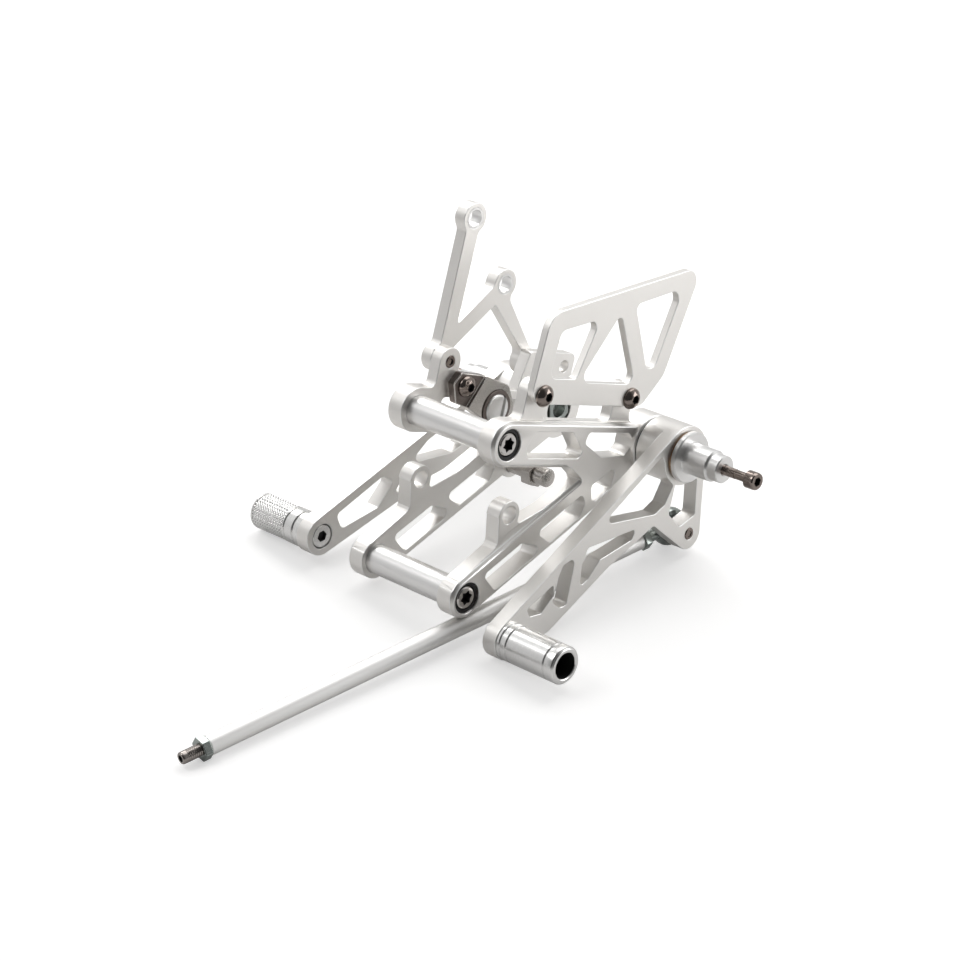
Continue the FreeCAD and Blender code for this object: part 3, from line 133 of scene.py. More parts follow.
world = bpy.data.worlds.new("studio")
bpy.context.scene.world = world
world.use_nodes = True
tree = world.node_tree
rays, seen = seen_rays(tree)
heading = added(tree, "ShaderNodeTexCoord").outputs["Generated"]
height = added(tree, "ShaderNodeSeparateXYZ", Vector=heading).outputs["Z"]
overhead = added(tree, "ShaderNodeMapRange", Value=height, To_Min=0.60, To_Max=0.83)
ahead = added(tree, "ShaderNodeVectorMath", "DOT_PRODUCT")
wire(tree, ahead, 0, heading)
wire(tree, ahead, 1, -look)
shade = added(tree, "ShaderNodeMapRange", Value=ahead.outputs["Value"], From_Min=0.15, From_Max=0.75,
              To_Min=1.0, To_Max=0.12)
room = reckon(tree, "MULTIPLY", overhead.outputs[0], shade.outputs[0])
wire(tree, tree.nodes["Background"], "Color", (1, 1, 1, 1))
wire(tree, tree.nodes["Background"], "Strength", reckon(tree, "MAXIMUM", seen, room))

for name, place, wide, power in (("overhead_lamp", (-150, -50, 1200), 1.0, 6.0),
                                 ("left_lamp", (-650, 900, 420), 0.7, 4.4),
                                 ("right_lamp", (50, -850, 900), 0.55, 3.6),
                                 ("front_lamp", (950, -350, 600), 0.5, 2.4)):
    lamp = bpy.data.lights.new(name, "AREA")
    lamp.shape = "SQUARE"
    lamp.size = wide
    lamp.energy = power
    holder = bpy.data.objects.new(name, lamp)
    bpy.context.scene.collection.objects.link(holder)
    holder.location = spot(*place)
    holder.rotation_euler = (spot(40, 0, 0) - spot(*place)).to_track_quat("-Z", "Y").to_euler()


# Side plates.  Each is milled from one aluminium plate: windows leave thin bars, the hub stands proud
# outside, and the edges are broken by hand before bead blasting and clear anodising.
def socket_of(group, name, kind, direction="INPUT", value=None):
    """New named socket of a node group."""
    made = group.interface.new_socket(name=name, in_out=direction, socket_type=kind)
    if value is not None:
        made.default_value = value
    return made


def surface_group(name, vectors, floats, colours):
    """Empty shader group with given inputs, and outputs for relief and roughness."""
    group = bpy.data.node_groups.new(name, "ShaderNodeTree")
    for kind, sockets in (("NodeSocketVector", vectors), ("NodeSocketFloat", floats),
                          ("NodeSocketColor", colours)):
        for label, value in sockets:
            socket_of(group, label, kind, value=value)
    socket_of(group, "Height", "NodeSocketFloat", "OUTPUT")
    socket_of(group, "Roughness", "NodeSocketFloat", "OUTPUT")
    return group, added(group, "NodeGroupInput").outputs, group.nodes.new("NodeGroupOutput")


def blasted_grain():
    """Fine pitting left by bead blasting, with faint cloudy patches from anodising."""
    group, given, result = surface_group(
        "blasted_grain", (), (("Grain Scale", 4200.0), ("Rough Low", 0.36), ("Rough High", 0.48)),
        (("Dark Tint", (0.7, 0.7, 0.7, 1)), ("Light Tint", (0.8, 0.8, 0.8, 1))))
    socket_of(group, "Color", "NodeSocketColor", "OUTPUT")
    where = added(group, "ShaderNodeTexCoord").outputs["Object"]
    pits = added(group, "ShaderNodeTexNoise", Vector=where, Scale=given["Grain Scale"],
                 Detail=3.0).outputs["Fac"]
    cloud = added(group, "ShaderNodeTexNoise", Vector=where, Scale=55.0, Detail=4.0).outputs["Fac"]
    spread = added(group, "ShaderNodeMapRange", Value=pits, From_Min=0.3, From_Max=0.7,
                   To_Min=given["Rough Low"], To_Max=given["Rough High"])
    tint = group.nodes.new("ShaderNodeMix")
    tint.data_type = "RGBA"
    both = reckon(group, "MULTIPLY_ADD", pits, 0.5, reckon(group, "MULTIPLY", cloud, 0.5))
    for place, value in ((0, both), (6, given["Dark Tint"]), (7, given["Light Tint"])):
        wire(group, tint, place, value)
    for label, value in (("Height", pits), ("Roughness", spread.outputs[0]), ("Color", tint.outputs[2])):
        wire(group, result, label, value)
    return group


def turning_marks():
    """Faint rings that a lathe leaves square to its axis."""
    group, given, result = surface_group(
        "turning_marks", (("Axis", tuple(across)),),
        (("Ring Scale", 2600.0), ("Rough Low", 0.24), ("Rough High", 0.36)), ())
    along = added(group, "ShaderNodeVectorMath", "DOT_PRODUCT")
    wire(group, along, 0, added(group, "ShaderNodeTexCoord").outputs["Object"])
    wire(group, along, 1, given["Axis"])
    rings = group.nodes.new("ShaderNodeTexNoise")
    rings.noise_dimensions = "1D"
    for label, value in (("W", along.outputs["Value"]), ("Scale", given["Ring Scale"]), ("Detail", 2.0)):
        wire(group, rings, label, value)
    spread = added(group, "ShaderNodeMapRange", Value=rings.outputs["Fac"], To_Min=given["Rough Low"],
                   To_Max=given["Rough High"])
    wire(group, result, "Height", rings.outputs["Fac"])
    wire(group, result, "Roughness", spread.outputs[0])
    return group


grain_group = blasted_grain()
rings_group = turning_marks()
RELIEF_DEPTH = 0.00005


def metal(name, group, bump, metallic, **settings):
    """Material whose roughness and relief come from a surface group; also its shader and group node."""
    made = bpy.data.materials.new(name)
    made.use_nodes = True
    inside = made.node_tree
    marks = inside.nodes.new("ShaderNodeGroup")
    marks.node_tree = group
    for label, value in settings.items():
        wire(inside, marks, label.replace("_", " "), value)
    relief = added(inside, "ShaderNodeBump", Strength=bump, Distance=RELIEF_DEPTH,
                   Height=marks.outputs["Height"])
    shader = inside.nodes["Principled BSDF"]
    for label, value in (("Metallic", metallic), ("Normal", relief.outputs["Normal"]),
                         ("Roughness", marks.outputs["Roughness"])):
        wire(inside, shader, label, value)
    return made, shader, marks


def blasted_metal(name, dark, light, rough, bump, scale=4200.0, metallic=1.0):
    """Blasted or forged metal surface; rough is a pair of limits."""
    made, shader, marks = metal(name, grain_group, bump, metallic, Grain_Scale=scale, Rough_Low=rough[0],
                                Rough_High=rough[1], Dark_Tint=(*dark, 1), Light_Tint=(*light, 1))
    wire(made.node_tree, shader, "Base Color", marks.outputs["Color"])
    return made


def turned_metal(name, colour, rough, axis, bump=0.15, scale=2600.0):
    """Lathe-turned metal surface with rings square to its axis."""
    made, shader, marks = metal(name, rings_group, bump, 1.0, Axis=tuple(axis), Ring_Scale=scale,
                                Rough_Low=rough[0], Rough_High=rough[1])
    wire(made.node_tree, shader, "Base Color", (*colour, 1))
    return made


satin_aluminium = blasted_metal("satin_aluminium", (0.79, 0.772, 0.744), (0.87, 0.854, 0.828),
                                (0.36, 0.47), 0.35)
# The edge breaks of milled pieces take a lighter, smoother copy of the satin metal: a painted highlight along each
# edge.
bright_edge = blasted_metal("bright_edge", (0.88, 0.875, 0.865), (0.94, 0.935, 0.925), (0.28, 0.36), 0.15)
MILLED = (satin_aluminium, bright_edge)
EDGE_BREAK = 0.00032
SHARP = math.radians(33)


def show(name, mesh, body, slot, *nodes):
    """Link a finished mesh as a piece that rides on a body and stands for CAD nodes."""
    piece = bpy.data.objects.new(name, mesh)
    bpy.context.scene.collection.objects.link(piece)
    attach(piece, body)
    if nodes:
        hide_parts(*nodes)
    return piece


HOLE_SIDES = 48


def prism(outline, low, high, holes=()):
    """Mesh between two levels across the set, from a closed outline and round holes (x, z, radius)."""
    solid = bmesh.new()
    rings = [outline]
    for x, z, radius in holes:
        turns = [math.tau * step / HOLE_SIDES for step in range(HOLE_SIDES)]
        rings.append([(x + radius * math.cos(turn), z + radius * math.sin(turn)) for turn in turns])
    edges = []
    for ring in rings:
        corners = [solid.verts.new(spot(x, low, z)) for x, z in ring]
        edges += [solid.edges.new(pair) for pair in zip(corners, corners[1:] + corners[:1])]
    bmesh.ops.triangle_fill(solid, use_beauty=True, use_dissolve=False, edges=edges)
    bmesh.ops.dissolve_limit(solid, angle_limit=0.01, verts=solid.verts, edges=solid.edges)
    raised = bmesh.ops.extrude_face_region(solid, geom=list(solid.faces), use_keep_orig=True)
    lifted = [item for item in raised["geom"] if isinstance(item, bmesh.types.BMVert)]
    bmesh.ops.translate(solid, vec=across * ((high - low) / 1000), verts=lifted)
    bmesh.ops.recalc_face_normals(solid, faces=solid.faces)
    mesh = bpy.data.meshes.new("prism")
    solid.to_mesh(mesh)
    solid.free()
    return mesh


def machined(node):
    """Copy of a CAD piece's mesh with its facets merged into whole faces."""
    mesh = frame["nodes"][node].data.copy()
    solid = bmesh.new()
    solid.from_mesh(mesh)
    bmesh.ops.remove_doubles(solid, verts=solid.verts, dist=2e-6)
    bmesh.ops.dissolve_limit(solid, angle_limit=math.radians(0.6), verts=solid.verts, edges=solid.edges)
    bmesh.ops.recalc_face_normals(solid, faces=solid.faces)
    solid.to_mesh(mesh)
    solid.free()
    return mesh


def outer_corners_marked(mesh):
    """Weigh each sharp outer corner of a mesh, so that a bevel leaves its inner corners alone."""
    solid = bmesh.new()
    solid.from_mesh(mesh)
    broken = solid.edges.layers.float.new("bevel_weight_edge")
    for corner in solid.edges:
        if corner.is_manifold and corner.calc_face_angle_signed() > SHARP:
            corner[broken] = 1.0
    solid.to_mesh(mesh)
    solid.free()
    return mesh


def evaluated(thing):
    """Plain mesh of an object with its modifiers."""
    return bpy.data.meshes.new_from_object(thing.evaluated_get(bpy.context.evaluated_depsgraph_get()))


def broken_edges(mesh, name, width, materials, away=None):
    """The mesh with a small break on each sharp edge, whose faces take the last of the materials, less what away
    takes off.

    Where away takes a wedge off, only the outer corners are broken.
    """
    mesh.materials.clear()
    for material in materials:
        mesh.materials.append(material)
    mesh.polygons.foreach_set("material_index", [0] * len(mesh.polygons))
    mesh.shade_smooth()
    mesh.set_sharp_from_angle(angle=SHARP)
    blank = bpy.data.objects.new(name + "_blank", mesh)
    bpy.context.scene.collection.objects.link(blank)
    weighted = away is not None
    if weighted:
        cutter = bpy.data.objects.new(name + "_cutter", away)
        bpy.context.scene.collection.objects.link(cutter)
        trim = blank.modifiers.new("trim", "BOOLEAN")
        trim.operation = "DIFFERENCE"
        trim.solver = "EXACT"
        trim.object = cutter
        bpy.context.view_layer.update()
        cut = evaluated(blank)
        blank.modifiers.clear()
        blank.data = outer_corners_marked(cut)
        bpy.data.meshes.remove(mesh)
        mesh = cut
        bpy.data.objects.remove(cutter)
        bpy.data.meshes.remove(away)
    edge = blank.modifiers.new("edge", "BEVEL")
    edge.width = width
    edge.segments = 2
    edge.limit_method = "WEIGHT" if weighted else "ANGLE"
    edge.angle_limit = SHARP
    edge.use_clamp_overlap = False
    edge.harden_normals = True
    edge.material = len(materials) - 1
    ready = evaluated(blank)
    bpy.data.objects.remove(blank)
    bpy.data.meshes.remove(mesh)
    ready.name = name
    return ready


# Each frame ear stands straight up from its bar, so the wedge in front of its neck comes off.
LOWER_BOSS = (105.8, -74.0)
ear_front = [(93.75, -36.7), (91.4, -47.6), (91.2, -49.2), (91.6, -50.6), (92.6, -51.8), (111.3, -66.05)]
ear_front += [(LOWER_BOSS[0] + 9.8 * math.cos(math.radians(turn)),
               LOWER_BOSS[1] + 9.8 * math.sin(math.radians(turn))) for turn in (50, 40, 30, 20)]
ear_front += [(126, -66), (126, -30), (104, -30), (98, -36)]
for node, name, low, high in (("left_bracket", "left_plate", 24, 36),
                              ("right_bracket", "right_plate", -36, -24)):
    show(name, broken_edges(machined(node), name, EDGE_BREAK, MILLED, prism(ear_front, low, high)),
         "frame_plates", "satin_aluminium", node)

# Heel guard: a flat plate, milled and blasted like the side plates, screwed to its tabs.
show("heel_cover", broken_edges(machined("heel_guard"), "heel_cover", EDGE_BREAK, MILLED),
     "frame_plates", "satin_aluminium", "heel_guard")


# Cylinder bracket: slim arms rise from two feet on the right plate to two eyes, whose heads are wider
# than the arms and run into them in small sweeps.
def arc(centre, radius, start, turn, steps):
    """Points on a round, from one angle through a turn."""
    return [(centre[0] + radius * math.cos(start + turn * step / steps),
             centre[1] + radius * math.sin(start + turn * step / steps)) for step in range(steps + 1)]


def round_end(centre, radius, way_in, half_in, way_out, half_out, sweep=4.0):
    """Outline anticlockwise round the head of an arm, with a hollow sweep where each side leaves it."""
    sides = []
    for (way_x, way_z), half, side in ((way_in, half_in, 1), (way_out, half_out, -1)):
        length = math.hypot(way_x, way_z)
        way = (way_x / length, way_z / length)
        square = (-way[1] * side, way[0] * side)
        reach = math.sqrt((radius + sweep) ** 2 - (half + sweep) ** 2)
        hollow = [centre[axis] + way[axis] * reach + square[axis] * (half + sweep) for axis in (0, 1)]
        start = math.atan2(-square[1], -square[0])
        stop = math.atan2(centre[1] - hollow[1], centre[0] - hollow[0])
        sides.append(arc(hollow, sweep, start, (stop - start + math.pi) % math.tau - math.pi, 5))
    start, stop = (math.atan2(side[-1][1] - centre[1], side[-1][0] - centre[0]) for side in sides)
    turn = (stop - start) % math.tau
    return sides[0] + arc(centre, radius, start, turn, 5 + int(turn / 0.12))[1:-1] + sides[1][::-1]


def eased_corner(before, corner, after, cut=2.2):
    """Three points in place of a corner, as a small end mill leaves it."""
    ends = []
    for other in (before, after):
        length = math.dist(other, corner)
        ends.append([corner[axis] + (other[axis] - corner[axis]) * cut / length for axis in (0, 1)])
    middle = [(ends[0][axis] + ends[1][axis] + 2 * corner[axis]) / 4 for axis in (0, 1)]
    return [tuple(ends[0]), tuple(middle), tuple(ends[1])]


FRONT_TAB = (84.0, 21.7)
REAR_TAB = (22.5, 21.7)
TALL_EYE = (80.3, 89.1)
LOW_EYE = (50.3, 59.1)
tall_head = round_end(TALL_EYE, 7.3, (1.6, -60), 4.1, (1.6, -60), 4.1)
low_head = round_end(LOW_EYE, 7.3, (0.718, -0.695), 4.0, (-0.682, -0.732), -1.0)
rear_foot = round_end(REAR_TAB, 6.8, (0.682, 0.732), 4.15, (0.754, 0.657), 0.3)
front_foot = round_end(FRONT_TAB, 6.8, (-0.718, 0.695), 1.0, (-1.6, 60), 2.2)
bracket_line = (tall_head + eased_corner(tall_head[-1], (77.5, 38.4), low_head[0]) + low_head + rear_foot
                + eased_corner(rear_foot[-1], (54.3, 49.0), front_foot[0], 1.4) + front_foot)
bracket_holes = [(*TALL_EYE, 5.0), (*LOW_EYE, 5.0), (*FRONT_TAB, 3.05), (*REAR_TAB, 3.05)]
show("cylinder_arms", broken_edges(prism(bracket_line, -38.0, -31.5, bracket_holes), "cylinder_arms",
                                   EDGE_BREAK, MILLED),
     "frame_plates", "satin_aluminium", "cylinder_bracket")

# Levers: each is milled in one piece with its long pivot boss and turns on a bush round its spindle.
for node, name, body in (("shift_lever", "shift_arm", "shift"), ("brake_lever", "brake_arm", "brake")):
    show(name, broken_edges(machined(node), name, 0.0003, MILLED), body, "satin_aluminium", node)


# Cross tubes: turned aluminium bars, tapped at both ends, that hold the plates apart.
def axle(x, y, z, sense=1):
    """Placement whose local Z runs outward along the pivot line from a point of the set."""
    turn = (across * sense).to_track_quat("Z", "Y").to_matrix().to_4x4()
    turn.translation = spot(x, y, z)
    return turn


def eased(outline, ease):
    """Outline of (along, radius) points with each inner corner cut by a small bevel."""
    points = [Vector(point) for point in outline]
    cut = [points[0]]
    for before, corner, after in zip(points, points[1:], points[2:]):
        for other in (before, after):
            away = other - corner
            cut.append(corner + away.normalized() * min(ease, away.length * 0.45))
    cut.append(points[-1])
    return [tuple(point) for point in cut]


def turned(name, parts, finishes, steps=96):
    """Mesh of round solids; parts holds (placement, outline in millimetres, finish number)."""
    solid = bmesh.new()
    for place, outline, finish in parts:
        piece = bmesh.new()
        chain = [piece.verts.new((radius / 1000, 0, along / 1000)) for along, radius in outline]
        line = [piece.edges.new(pair) for pair in zip(chain, chain[1:])]
        bmesh.ops.spin(piece, geom=chain + line, cent=(0, 0, 0), axis=(0, 0, 1), angle=math.tau,
                       steps=steps, use_merge=True)
        bmesh.ops.remove_doubles(piece, verts=piece.verts, dist=1e-7)
        bmesh.ops.recalc_face_normals(piece, faces=piece.faces)
        bmesh.ops.transform(piece, matrix=place, verts=piece.verts)
        for face in piece.faces:
            face.material_index = finish
        part = bpy.data.meshes.new("part")
        piece.to_mesh(part)
        piece.free()
        solid.from_mesh(part)
        bpy.data.meshes.remove(part)
    mesh = bpy.data.meshes.new(name)
    solid.to_mesh(mesh)
    solid.free()
    for finish in finishes:
        mesh.materials.append(finish)
    mesh.shade_smooth()
    mesh.set_sharp_from_angle(angle=math.radians(24))
    return mesh


turned_aluminium = turned_metal("turned_aluminium", (0.84, 0.835, 0.825), (0.26, 0.36), across)
UPPER_BOSS = (99.3, -1.8)
tube_outline = [(-26.5, 0), (-26.5, 7.1), (26.5, 7.1), (26.5, 0)]
for name, (x, z) in (("upper_tube", UPPER_BOSS), ("lower_tube", LOWER_BOSS)):
    show(name, turned(name, [(axle(x, 0, z), eased(tube_outline, 0.3), 0)], [turned_aluminium]),
         "frame_plates", "turned_aluminium", name.replace("tube", "cross_tube"))


# Tube screws: four steel screws with star sockets, each sunk in a counterbored boss, with a near-black ring
# filling the gap round its head as painted shade.
def growth_tree(name, floats):
    """Empty geometry tree that takes points, an axis, some sizes and a finish."""
    group = bpy.data.node_groups.new(name, "GeometryNodeTree")
    socket_of(group, "Geometry", "NodeSocketGeometry", "OUTPUT")
    socket_of(group, "Points", "NodeSocketGeometry")
    socket_of(group, "Axis", "NodeSocketVector", value=(0, 0, 1))
    for label, value in floats:
        socket_of(group, label, "NodeSocketFloat", value=value)
    socket_of(group, "Finish", "NodeSocketMaterial")
    return group, added(group, "NodeGroupInput").outputs


def coated(group, shape, finish):
    """The shape with a finish set on it."""
    return added(group, "GeometryNodeSetMaterial", Geometry=shape, Material=finish).outputs[0]


def upright(group, level):
    """Point on the local Z axis."""
    return added(group, "ShaderNodeCombineXYZ", Z=level).outputs[0]


def own_position(group):
    """X, Y and Z of each vertex of a mesh."""
    place = group.nodes.new("GeometryNodeInputPosition").outputs[0]
    return added(group, "ShaderNodeSeparateXYZ", Vector=place).outputs


def narrowed(group, mesh, here, narrow, level):
    """The mesh with its radius scaled by narrow and its height set to level."""
    place = added(group, "ShaderNodeCombineXYZ", X=reckon(group, "MULTIPLY", here[0], narrow),
                  Y=reckon(group, "MULTIPLY", here[1], narrow), Z=level)
    return added(group, "GeometryNodeSetPosition", Geometry=mesh, Position=place.outputs[0]).outputs[0]


def placed(group, given, shape):
    """The shape at each point, turned to the axis and made real."""
    facing = added(group, "FunctionNodeAlignRotationToVector", Vector=given["Axis"])
    facing.axis = "Z"
    spread = added(group, "GeometryNodeInstanceOnPoints", Points=given["Points"], Instance=shape,
                   Rotation=facing.outputs[0])
    return added(group, "GeometryNodeRealizeInstances", Geometry=spread.outputs[0]).outputs[0]


def finished(group, given, shape):
    """The tree, ended by the shape at each point with its finish."""
    ready = coated(group, placed(group, given, shape), given["Finish"])
    wire(group, group.nodes.new("NodeGroupOutput"), 0, ready)
    return group


def screw_maker():
    """Geometry tree: round-headed screws with a star or hexagon socket, one at each given point; the socket faces
    take a near-black material of their own as painted shade.
    """
    group, given = growth_tree("socket_screws", (
        ("Head Radius", 0.005), ("Head Height", 0.003), ("Crown", 0.4), ("Crown Power", 2.2),
        ("Socket Outer", 0.0023), ("Socket Inner", 0.002), ("Socket Depth", 0.002),
        ("Shank Radius", 0.003), ("Shank Length", 0.004)))
    socket_of(group, "Socket Finish", "NodeSocketMaterial")
    head = added(group, "GeometryNodeMeshCylinder", Vertices=64, Side_Segments=12,
                 Radius=given["Head Radius"], Depth=given["Head Height"]).outputs["Mesh"]
    here = own_position(group)
    rise = reckon(group, "ADD", reckon(group, "DIVIDE", here[2], given["Head Height"]), 0.5)
    fall = reckon(group, "MULTIPLY", given["Crown"], reckon(group, "POWER", rise, given["Crown Power"]))
    domed = narrowed(group, head, here, reckon(group, "SUBTRACT", 1.0, fall),
                     reckon(group, "MULTIPLY", rise, given["Head Height"]))
    star = group.nodes.new("GeometryNodeCurveStar")
    for label, value in (("Points", 6), ("Inner Radius", given["Socket Inner"]),
                         ("Outer Radius", given["Socket Outer"])):
        wire(group, star, label, value)
    line = added(group, "GeometryNodeCurvePrimitiveLine",
                 Start=upright(group, reckon(group, "SUBTRACT", given["Head Height"], given["Socket Depth"])),
                 End=upright(group, reckon(group, "ADD", given["Head Height"], 0.001)))
    key = added(group, "GeometryNodeCurveToMesh", Curve=line.outputs[0], Profile_Curve=star.outputs["Curve"],
                Fill_Caps=True).outputs[0]
    cut = group.nodes.new("GeometryNodeMeshBoolean")
    cut.operation = "DIFFERENCE"
    wire(group, cut, "Mesh 1", coated(group, domed, given["Finish"]))
    wire(group, cut, "Mesh 2", coated(group, key, given["Socket Finish"]))
    shank = added(group, "GeometryNodeMeshCylinder", Vertices=48, Radius=given["Shank Radius"],
                  Depth=given["Shank Length"]).outputs["Mesh"]
    below = upright(group, reckon(group, "MULTIPLY", given["Shank Length"], -0.5))
    lowered = added(group, "GeometryNodeTransform", Geometry=shank, Translation=below).outputs[0]
    whole = group.nodes.new("GeometryNodeJoinGeometry")
    wire(group, whole, 0, coated(group, lowered, given["Finish"]))
    wire(group, whole, 0, cut.outputs[0])
    wire(group, group.nodes.new("NodeGroupOutput"), 0, placed(group, given, whole.outputs[0]))
    return group


def grown(name, group, spots, sharp=28, **given):
    """Plain mesh that a geometry tree makes at the given points of the set."""
    points = bpy.data.meshes.new(name + "_points")
    points.from_pydata([spot(*place) for place in spots], [], [])
    holder = bpy.data.objects.new(name + "_points", points)
    bpy.context.scene.collection.objects.link(holder)
    growth = holder.modifiers.new("growth", "NODES")
    growth.node_group = group
    for item in group.interface.items_tree:
        label = item.name.replace(" ", "_")
        if item.in_out == "INPUT" and label in given:
            growth[item.identifier] = given[label]
    bpy.context.view_layer.update()
    mesh = evaluated(holder)
    holder.modifiers.remove(growth)
    bpy.data.objects.remove(holder)
    bpy.data.meshes.remove(points)
    mesh.name = name
    while mesh.materials[0] is None:
        kept = [max(face.material_index - 1, 0) for face in mesh.polygons]
        mesh.materials.pop(index=0)
        mesh.polygons.foreach_set("material_index", kept)
    mesh.shade_smooth()
    mesh.set_sharp_from_angle(angle=math.radians(sharp))
    return mesh


screws = screw_maker()
bolt_steel = turned_metal("bolt_steel", (0.27, 0.228, 0.205), (0.08, 0.15), across, 0.06, 3000.0)
tube_bolt_steel = turned_metal("tube_bolt_steel", (0.62, 0.60, 0.58), (0.10, 0.2), across, 0.08, 3000.0)
# Near-black socket walls: painted shade deep in each screw socket.
socket_dark = blasted_metal("socket_dark", (0.010, 0.010, 0.010), (0.022, 0.020, 0.019), (0.45, 0.6), 0.1,
                            2500.0, 0.0)
# Near-black: the own colour of the hub seals, and painted shade in the gaps round the tube screws and inside the
# shift toe peg's bore.
black_oxide = blasted_metal("black_oxide", (0.008, 0.008, 0.008), (0.016, 0.016, 0.016), (0.5, 0.65), 0.1,
                            2500.0, 0.0)
gap_shade_outline = [(0, 4.2), (0, 7.42), (4.5, 7.42), (4.5, 5.85), (0.9, 5.85), (0.9, 4.2), (0, 4.2)]
for name, level, sense in (("left_tube_bolts", 29.4, 1), ("right_tube_bolts", -29.4, -1)):
    spots = [(x, level, z) for x, z in (UPPER_BOSS, LOWER_BOSS)]
    show(name, grown(name, screws, spots, Axis=tuple(across * sense), Head_Radius=0.0057,
                     Head_Height=0.005, Crown=0.16, Crown_Power=9.0, Socket_Outer=0.0037,
                     Socket_Inner=0.0026, Socket_Depth=0.0032, Shank_Radius=0.0039,
                     Shank_Length=0.017, Finish=tube_bolt_steel, Socket_Finish=socket_dark),
         "frame_plates", "stainless_steel", name.replace("bolts", "screws"))
    # A near-black ring fills the gap between each screw head and its counterbore, as painted shade.
    name = name.replace("bolts", "gap_shade")
    show(name, turned(name, [(axle(*place, sense), gap_shade_outline, 0) for place in spots], [black_oxide]),
         "frame_plates", "dark_steel")

# Button-head screws: they hold the heel guard and the cylinder bracket to their tabs and the clamp to
# the right plate.  Dark plated steel with a hexagon socket.
CLAMP_SCREW = (74.7, 11.3)
TABS = (FRONT_TAB, REAR_TAB)
for name, node, spots, sense, shank in (
        ("guard_buttons", "heel_guard_screws", [(x, 35.5, z) for x, z in TABS], 1, 0.0095),
        ("bracket_buttons", "cylinder_bracket_screws", [(x, -38.0, z) for x, z in TABS], -1, 0.0126),
        ("clamp_button", "clamp_screw", [(CLAMP_SCREW[0], -20.6, CLAMP_SCREW[1])], 1, 0.0105)):
    show(name, grown(name, screws, spots, Axis=tuple(across * sense), Head_Radius=0.00525,
                     Head_Height=0.0033, Crown=0.55, Crown_Power=2.5, Socket_Outer=0.0023,
                     Socket_Inner=0.00199, Socket_Depth=0.0021, Shank_Radius=0.003,
                     Shank_Length=shank, Finish=bolt_steel, Socket_Finish=socket_dark),
         "frame_plates", "stainless_steel", node)
# The bracket screws show their socketed ends inside the right plate, and the rod-end screw its end
# on the outer face of the lever tail.
end_sizes = dict(Head_Radius=0.0029, Head_Height=0.0012, Crown=0.12, Crown_Power=6.0,
                 Socket_Outer=0.00173, Socket_Inner=0.0015, Socket_Depth=0.0009,
                 Shank_Radius=0.0028, Shank_Length=0.001, Finish=bolt_steel, Socket_Finish=socket_dark)
show("bracket_screw_ends",
     grown("bracket_screw_ends", screws, [(x, -25.9, z) for x, z in TABS],
           Axis=tuple(across), **end_sizes), "frame_plates", "stainless_steel")
TAIL = (-16.1, -38.8)
show("tail_screw_end", grown("tail_screw_end", screws, [(TAIL[0], 56.6, TAIL[1])], Axis=tuple(across),
                             **end_sizes), "shift", "stainless_steel")

# Shift toe peg: turned aluminium, with two grooves by the lever, one near the tip and a deep bore, lined with a
# near-black sleeve as painted shade.
TOE = (97.0, -87.2)
toe_axis = axle(TOE[0], 57.45, TOE[1])
peg_outline = [(0, 0), (0, 8.95), (1.6, 9.05), (1.6, 8.45), (2.8, 8.45), (2.8, 9.05), (5.4, 9.05),
               (5.4, 8.45), (6.6, 8.45), (6.6, 9.05), (28.8, 9.05), (28.8, 8.45), (30.0, 8.45),
               (30.0, 9.05), (33.9, 9.05), (35.0, 8.0), (35.0, 6.5), (34.6, 6.2)]
bore_shade_outline = [(34.5, 6.2), (13.2, 6.2), (13.2, 0)]
toe_peg_metal = turned_metal("toe_peg_metal", (0.82, 0.815, 0.805), (0.20, 0.30), across, 0.12, 3200.0)
show("shift_grip", turned("shift_grip", [(toe_axis, eased(peg_outline, 0.18), 0),
                                         (toe_axis, bore_shade_outline, 1)],
                          [toe_peg_metal, black_oxide]),
     "shift", "turned_aluminium", "shift_toe_peg")


# Brake toe peg: the same turned bar with a diamond knurl between two plain collars.
def grooved(group, given, here, bar, hollow):
    """The bar with grooves: hollow is 0 on the crests and 1 in the roots.  It starts at its point."""
    inset = reckon(group, "DIVIDE", reckon(group, "MULTIPLY", hollow, given["Depth"]), given["Radius"])
    level = reckon(group, "MULTIPLY_ADD", given["Length"], 0.5, here[2])
    return finished(group, given, narrowed(group, bar, here, reckon(group, "SUBTRACT", 1.0, inset), level))


def pitches(group, given, times):
    """How often a groove's pitch goes into the length, times a number."""
    return reckon(group, "MULTIPLY", reckon(group, "DIVIDE", given["Length"], given["Pitch"]), times)


def turn_share(group, here):
    """Angle round the axis as a share of a whole turn."""
    return reckon(group, "DIVIDE", reckon(group, "ARCTAN2", here[1], here[0]), math.tau)


def off_middle(group, phase):
    """Distance of a phase from the middle of its pitch, as a share of the pitch."""
    return reckon(group, "ABSOLUTE", reckon(group, "SUBTRACT", reckon(group, "FRACT", phase), 0.5))


def knurl_maker():
    """Geometry tree: bar with two crossing sets of V grooves, placed like the screws."""
    group, given = growth_tree("diamond_knurl", (("Radius", 0.009), ("Length", 0.02), ("Pitch", 0.0013),
                                                 ("Depth", 0.0004)))
    socket_of(group, "Teeth", "NodeSocketInt", value=44)
    bar = added(group, "GeometryNodeMeshCylinder", Vertices=reckon(group, "MULTIPLY", given["Teeth"], 5),
                Side_Segments=pitches(group, given, 5), Radius=given["Radius"],
                Depth=given["Length"]).outputs["Mesh"]
    here = own_position(group)
    around = reckon(group, "MULTIPLY", turn_share(group, here), given["Teeth"])
    along = reckon(group, "DIVIDE", here[2], given["Pitch"])
    slopes = [off_middle(group, reckon(group, way, around, along)) for way in ("ADD", "SUBTRACT")]
    ridge = reckon(group, "MULTIPLY", reckon(group, "MINIMUM", *slopes), 3.0)
    hollow = reckon(group, "SUBTRACT", 1.0, reckon(group, "MINIMUM", ridge, 1.0))
    return grooved(group, given, here, bar, hollow)


